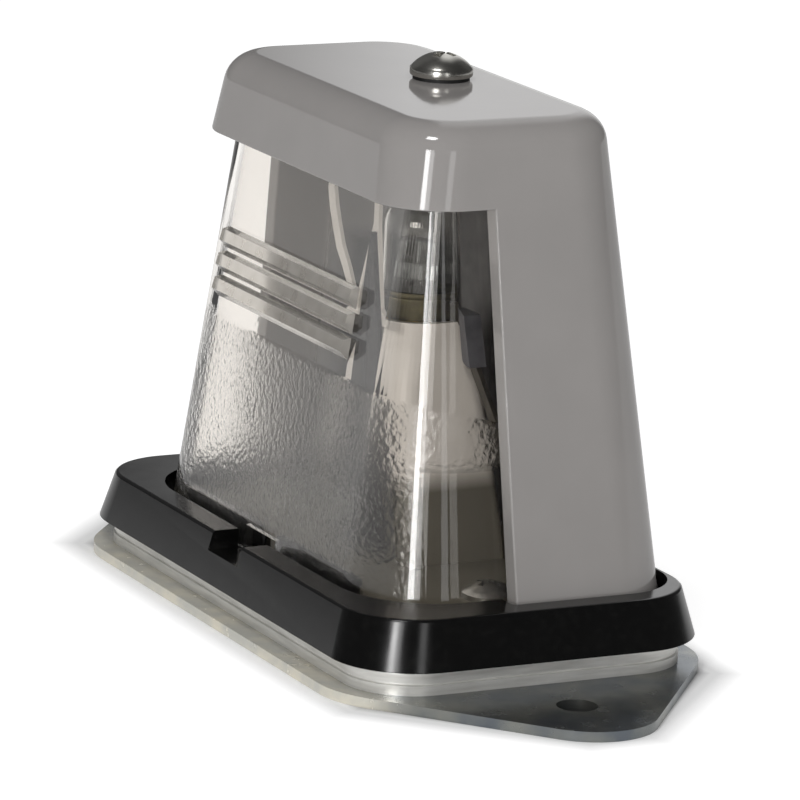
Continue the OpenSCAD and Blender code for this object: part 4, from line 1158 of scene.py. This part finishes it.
class LAMP_OT_stage(bpy.types.Operator):
    """Floor, lights, world and camera"""

    bl_idname = "lamp.stage"
    bl_label = "Stage"

    def execute(self, context):
        scene = context.scene
        self.camera(scene)
        self.floor(scene)
        self.world(scene)
        for box in SOFT_BOXES:
            soft_box(*box)
        scene.view_settings.view_transform = "Standard"
        return {"FINISHED"}

    def camera(self, scene):
        s = scene.lamp_stage
        a, e, roll = s.azimuth, s.elevation, s.roll
        back = Vector((math.sin(a) * math.cos(e), -math.cos(a) * math.cos(e), math.sin(e)))
        right = Vector((0, 0, 1)).cross(back).normalized()
        up = back.cross(right)
        across = math.cos(roll) * right + math.sin(roll) * up
        above = -math.sin(roll) * right + math.cos(roll) * up
        data = bpy.data.cameras.new("studio_camera")
        data.lens, data.sensor_width = CAMERA_LENS, 36
        data.clip_start, data.clip_end = 0.02, 20
        camera = bpy.data.objects.new("studio_camera", data)
        scene.collection.objects.link(camera)
        turn = Matrix((across, above, back)).transposed().to_4x4()
        camera.matrix_world = Matrix.Translation(CAMERA_PLACE) @ turn
        scene.camera = camera

    def floor(self, scene):
        half = 3.0
        floor = mesh_object("studio_floor", [(-half, -half, 0), (half, -half, 0), (half, half, 0),
                                             (-half, half, 0)], [(0, 1, 2, 3)])
        floor.location.z = -0.02 * MM
        # Matt white paper. Its faint glow fades out within 5 mm of the plate, a painted shade
        # round it on top of the real contact shadow. Under the plate the paper is painted near
        # black: painted shade.
        mat, tree, shader = material("studio_paper_white", Roughness=0.9, Specular_IOR_Level=0.0)
        at = position(tree)
        x = add(tree, "ShaderNodeMath", {0: at["X"]}, operation="ABSOLUTE")
        y = add(tree, "ShaderNodeMath", {0: at["Y"]}, operation="ABSOLUTE")
        # away is the distance to the plate's edge plus the plate's half depth. The plate's
        # outline is near its slanted sides, its front and back, or the tips of its ears.
        edge = PLATE_HIGH.y
        both = add(tree, "ShaderNodeMath", {0: x, 1: y}, operation="ADD")
        slant = add(tree, "ShaderNodeMath", {0: both, 1: 0.7, 2: 0.7 * -35 * MM},
                    operation="MULTIPLY_ADD")
        tip = add(tree, "ShaderNodeMath", {0: x, 1: edge - PLATE_HIGH.x}, operation="ADD")
        away = add(tree, "ShaderNodeMath", {0: slant, 1: y}, operation="MAXIMUM")
        away = add(tree, "ShaderNodeMath", {0: away, 1: tip}, operation="MAXIMUM")
        # Painted shade: the glow grows from nothing at the plate's edge to its full strength 5 mm
        # out.
        glow = add(tree, "ShaderNodeMapRange", {"Value": away, "From Min": edge,
                                                "From Max": edge + 5 * MM, "To Max": 0.5})
        # Painted shade: the paper darkens to near black from 1 mm to 5 mm inside the plate's edge.
        open_air = add(tree, "ShaderNodeMapRange", {"Value": away, "From Min": edge - 5 * MM,
                                                    "From Max": edge - MM})
        paper = scene.lamp_stage.floor
        shade = add(tree, "ShaderNodeMix", {0: open_air, 6: tinted(paper, 0.03),
                                            7: tinted(paper, 1.0)}, data_type="RGBA")
        tree.links.new(shade.outputs[2], shader.inputs["Base Color"])
        path = add(tree, "ShaderNodeLightPath")
        seen = add(tree, "ShaderNodeMath", {0: path.outputs["Is Camera Ray"],
                                            1: path.outputs["Is Transmission Ray"]},
                   operation="MAXIMUM")
        strength = add(tree, "ShaderNodeMath", {0: seen, 1: glow}, operation="MULTIPLY")
        emission = add(tree, "ShaderNodeEmission", {"Strength": strength})
        total = add(tree, "ShaderNodeAddShader", {0: shader, 1: emission})
        tree.links.new(total.outputs[0], tree.nodes["Material Output"].inputs["Surface"])
        floor.data.materials.append(mat)

    def world(self, scene):
        """White behind the lamp, a dim room on the camera's side and an even soft light."""
        world = bpy.data.worlds.new("studio_room")
        scene.world = world
        world.use_nodes = True
        tree = world.node_tree
        tree.nodes.clear()
        path = add(tree, "ShaderNodeLightPath").outputs
        place = add(tree, "ShaderNodeTexCoord")
        turn = scene.lamp_stage.azimuth
        # How far a direction points to behind the lamp, and to the left of it.
        behind, left = (
            add(tree, "ShaderNodeVectorMath", {0: place.outputs["Generated"], 1: direction},
                operation="DOT_PRODUCT").outputs["Value"]
            for direction in ((-math.sin(turn), math.cos(turn), 0),
                              (-math.cos(turn), -math.sin(turn), 0)))
        # Each level runs between two values as the direction runs between two values.
        room, left_side, right_side, least, refracted, soft = (
            add(tree, "ShaderNodeMapRange", {"Value": value, "From Min": first, "From Max": last,
                                             "To Min": low, "To Max": high})
            for value, first, last, low, high in (
                (behind, 0.2, 0.6, 0.06, 1.0), (left, 0.045, 0.0, 0.12, 1.0),
                (left, -0.4, -0.2, 0.1, 1.0), (behind, 0.2, 0.6, 0.06, 0.07),
                (behind, -0.3, 0.3, 0.3, 1.0), (left, 0.0, 0.8, 0.58, 0.4)))
        mirrored = add(tree, "ShaderNodeMath", {0: room, 1: left_side}, operation="MULTIPLY")
        mirrored = add(tree, "ShaderNodeMath", {0: mirrored, 1: right_side}, operation="MULTIPLY")
        mirrored = add(tree, "ShaderNodeMath", {0: mirrored, 1: least}, operation="MAXIMUM")
        level = path["Is Camera Ray"]
        for ray, strength in (("Is Transmission Ray", refracted), ("Is Glossy Ray", mirrored),
                              ("Is Diffuse Ray", soft)):
            lit = add(tree, "ShaderNodeMath", {0: path[ray], 1: strength}, operation="MULTIPLY")
            level = add(tree, "ShaderNodeMath", {0: level, 1: lit}, operation="MAXIMUM")
        white = add(tree, "ShaderNodeBackground", {"Strength": level, "Color": (1, 1, 1, 1)})
        add(tree, "ShaderNodeOutputWorld", {"Surface": white})


class LAMP_PT_pieces(bpy.types.Panel):
    bl_label = "Number plate lamp"
    bl_idname = "LAMP_PT_pieces"
    bl_space_type = "VIEW_3D"
    bl_region_type = "UI"
    bl_category = "Lamp"

    def draw(self, context):
        scene = context.scene
        for group in (scene.lamp_hood, scene.lamp_lens, scene.lamp_base, scene.lamp_stage):
            column = self.layout.column()
            for name in group.__annotations__:
                column.prop(group, name)
        for operator in OPERATORS:
            self.layout.operator(operator.bl_idname)


GROUPS = {"lamp_hood": HoodShape, "lamp_lens": LensShape, "lamp_base": BaseShape,
          "lamp_stage": StageLook}
OPERATORS = (LAMP_OT_plate, LAMP_OT_tray, LAMP_OT_frame, LAMP_OT_carrier, LAMP_OT_contacts,
             LAMP_OT_bulb, LAMP_OT_lens, LAMP_OT_hood, LAMP_OT_cover_screw, LAMP_OT_fittings,
             LAMP_OT_stage)


def register():
    for item in (*GROUPS.values(), *OPERATORS, LAMP_PT_pieces):
        bpy.utils.register_class(item)
    for name, group in GROUPS.items():
        setattr(bpy.types.Scene, name, PointerProperty(type=group))


def unregister():
    for name in GROUPS:
        delattr(bpy.types.Scene, name)
    for item in (LAMP_PT_pieces, *reversed(OPERATORS), *reversed(tuple(GROUPS.values()))):
        bpy.utils.unregister_class(item)


def main():
    register()
    bpy.ops.lamp.plate()
    bpy.ops.lamp.tray()
    bpy.ops.lamp.frame()
    bpy.ops.lamp.carrier()
    bpy.ops.lamp.contacts()
    bpy.ops.lamp.bulb()
    bpy.ops.lamp.lens()
    bpy.ops.lamp.hood()
    bpy.ops.lamp.cover_screw()
    bpy.ops.lamp.fittings()
    bpy.ops.lamp.stage()


if __name__ == "__main__":
    main()
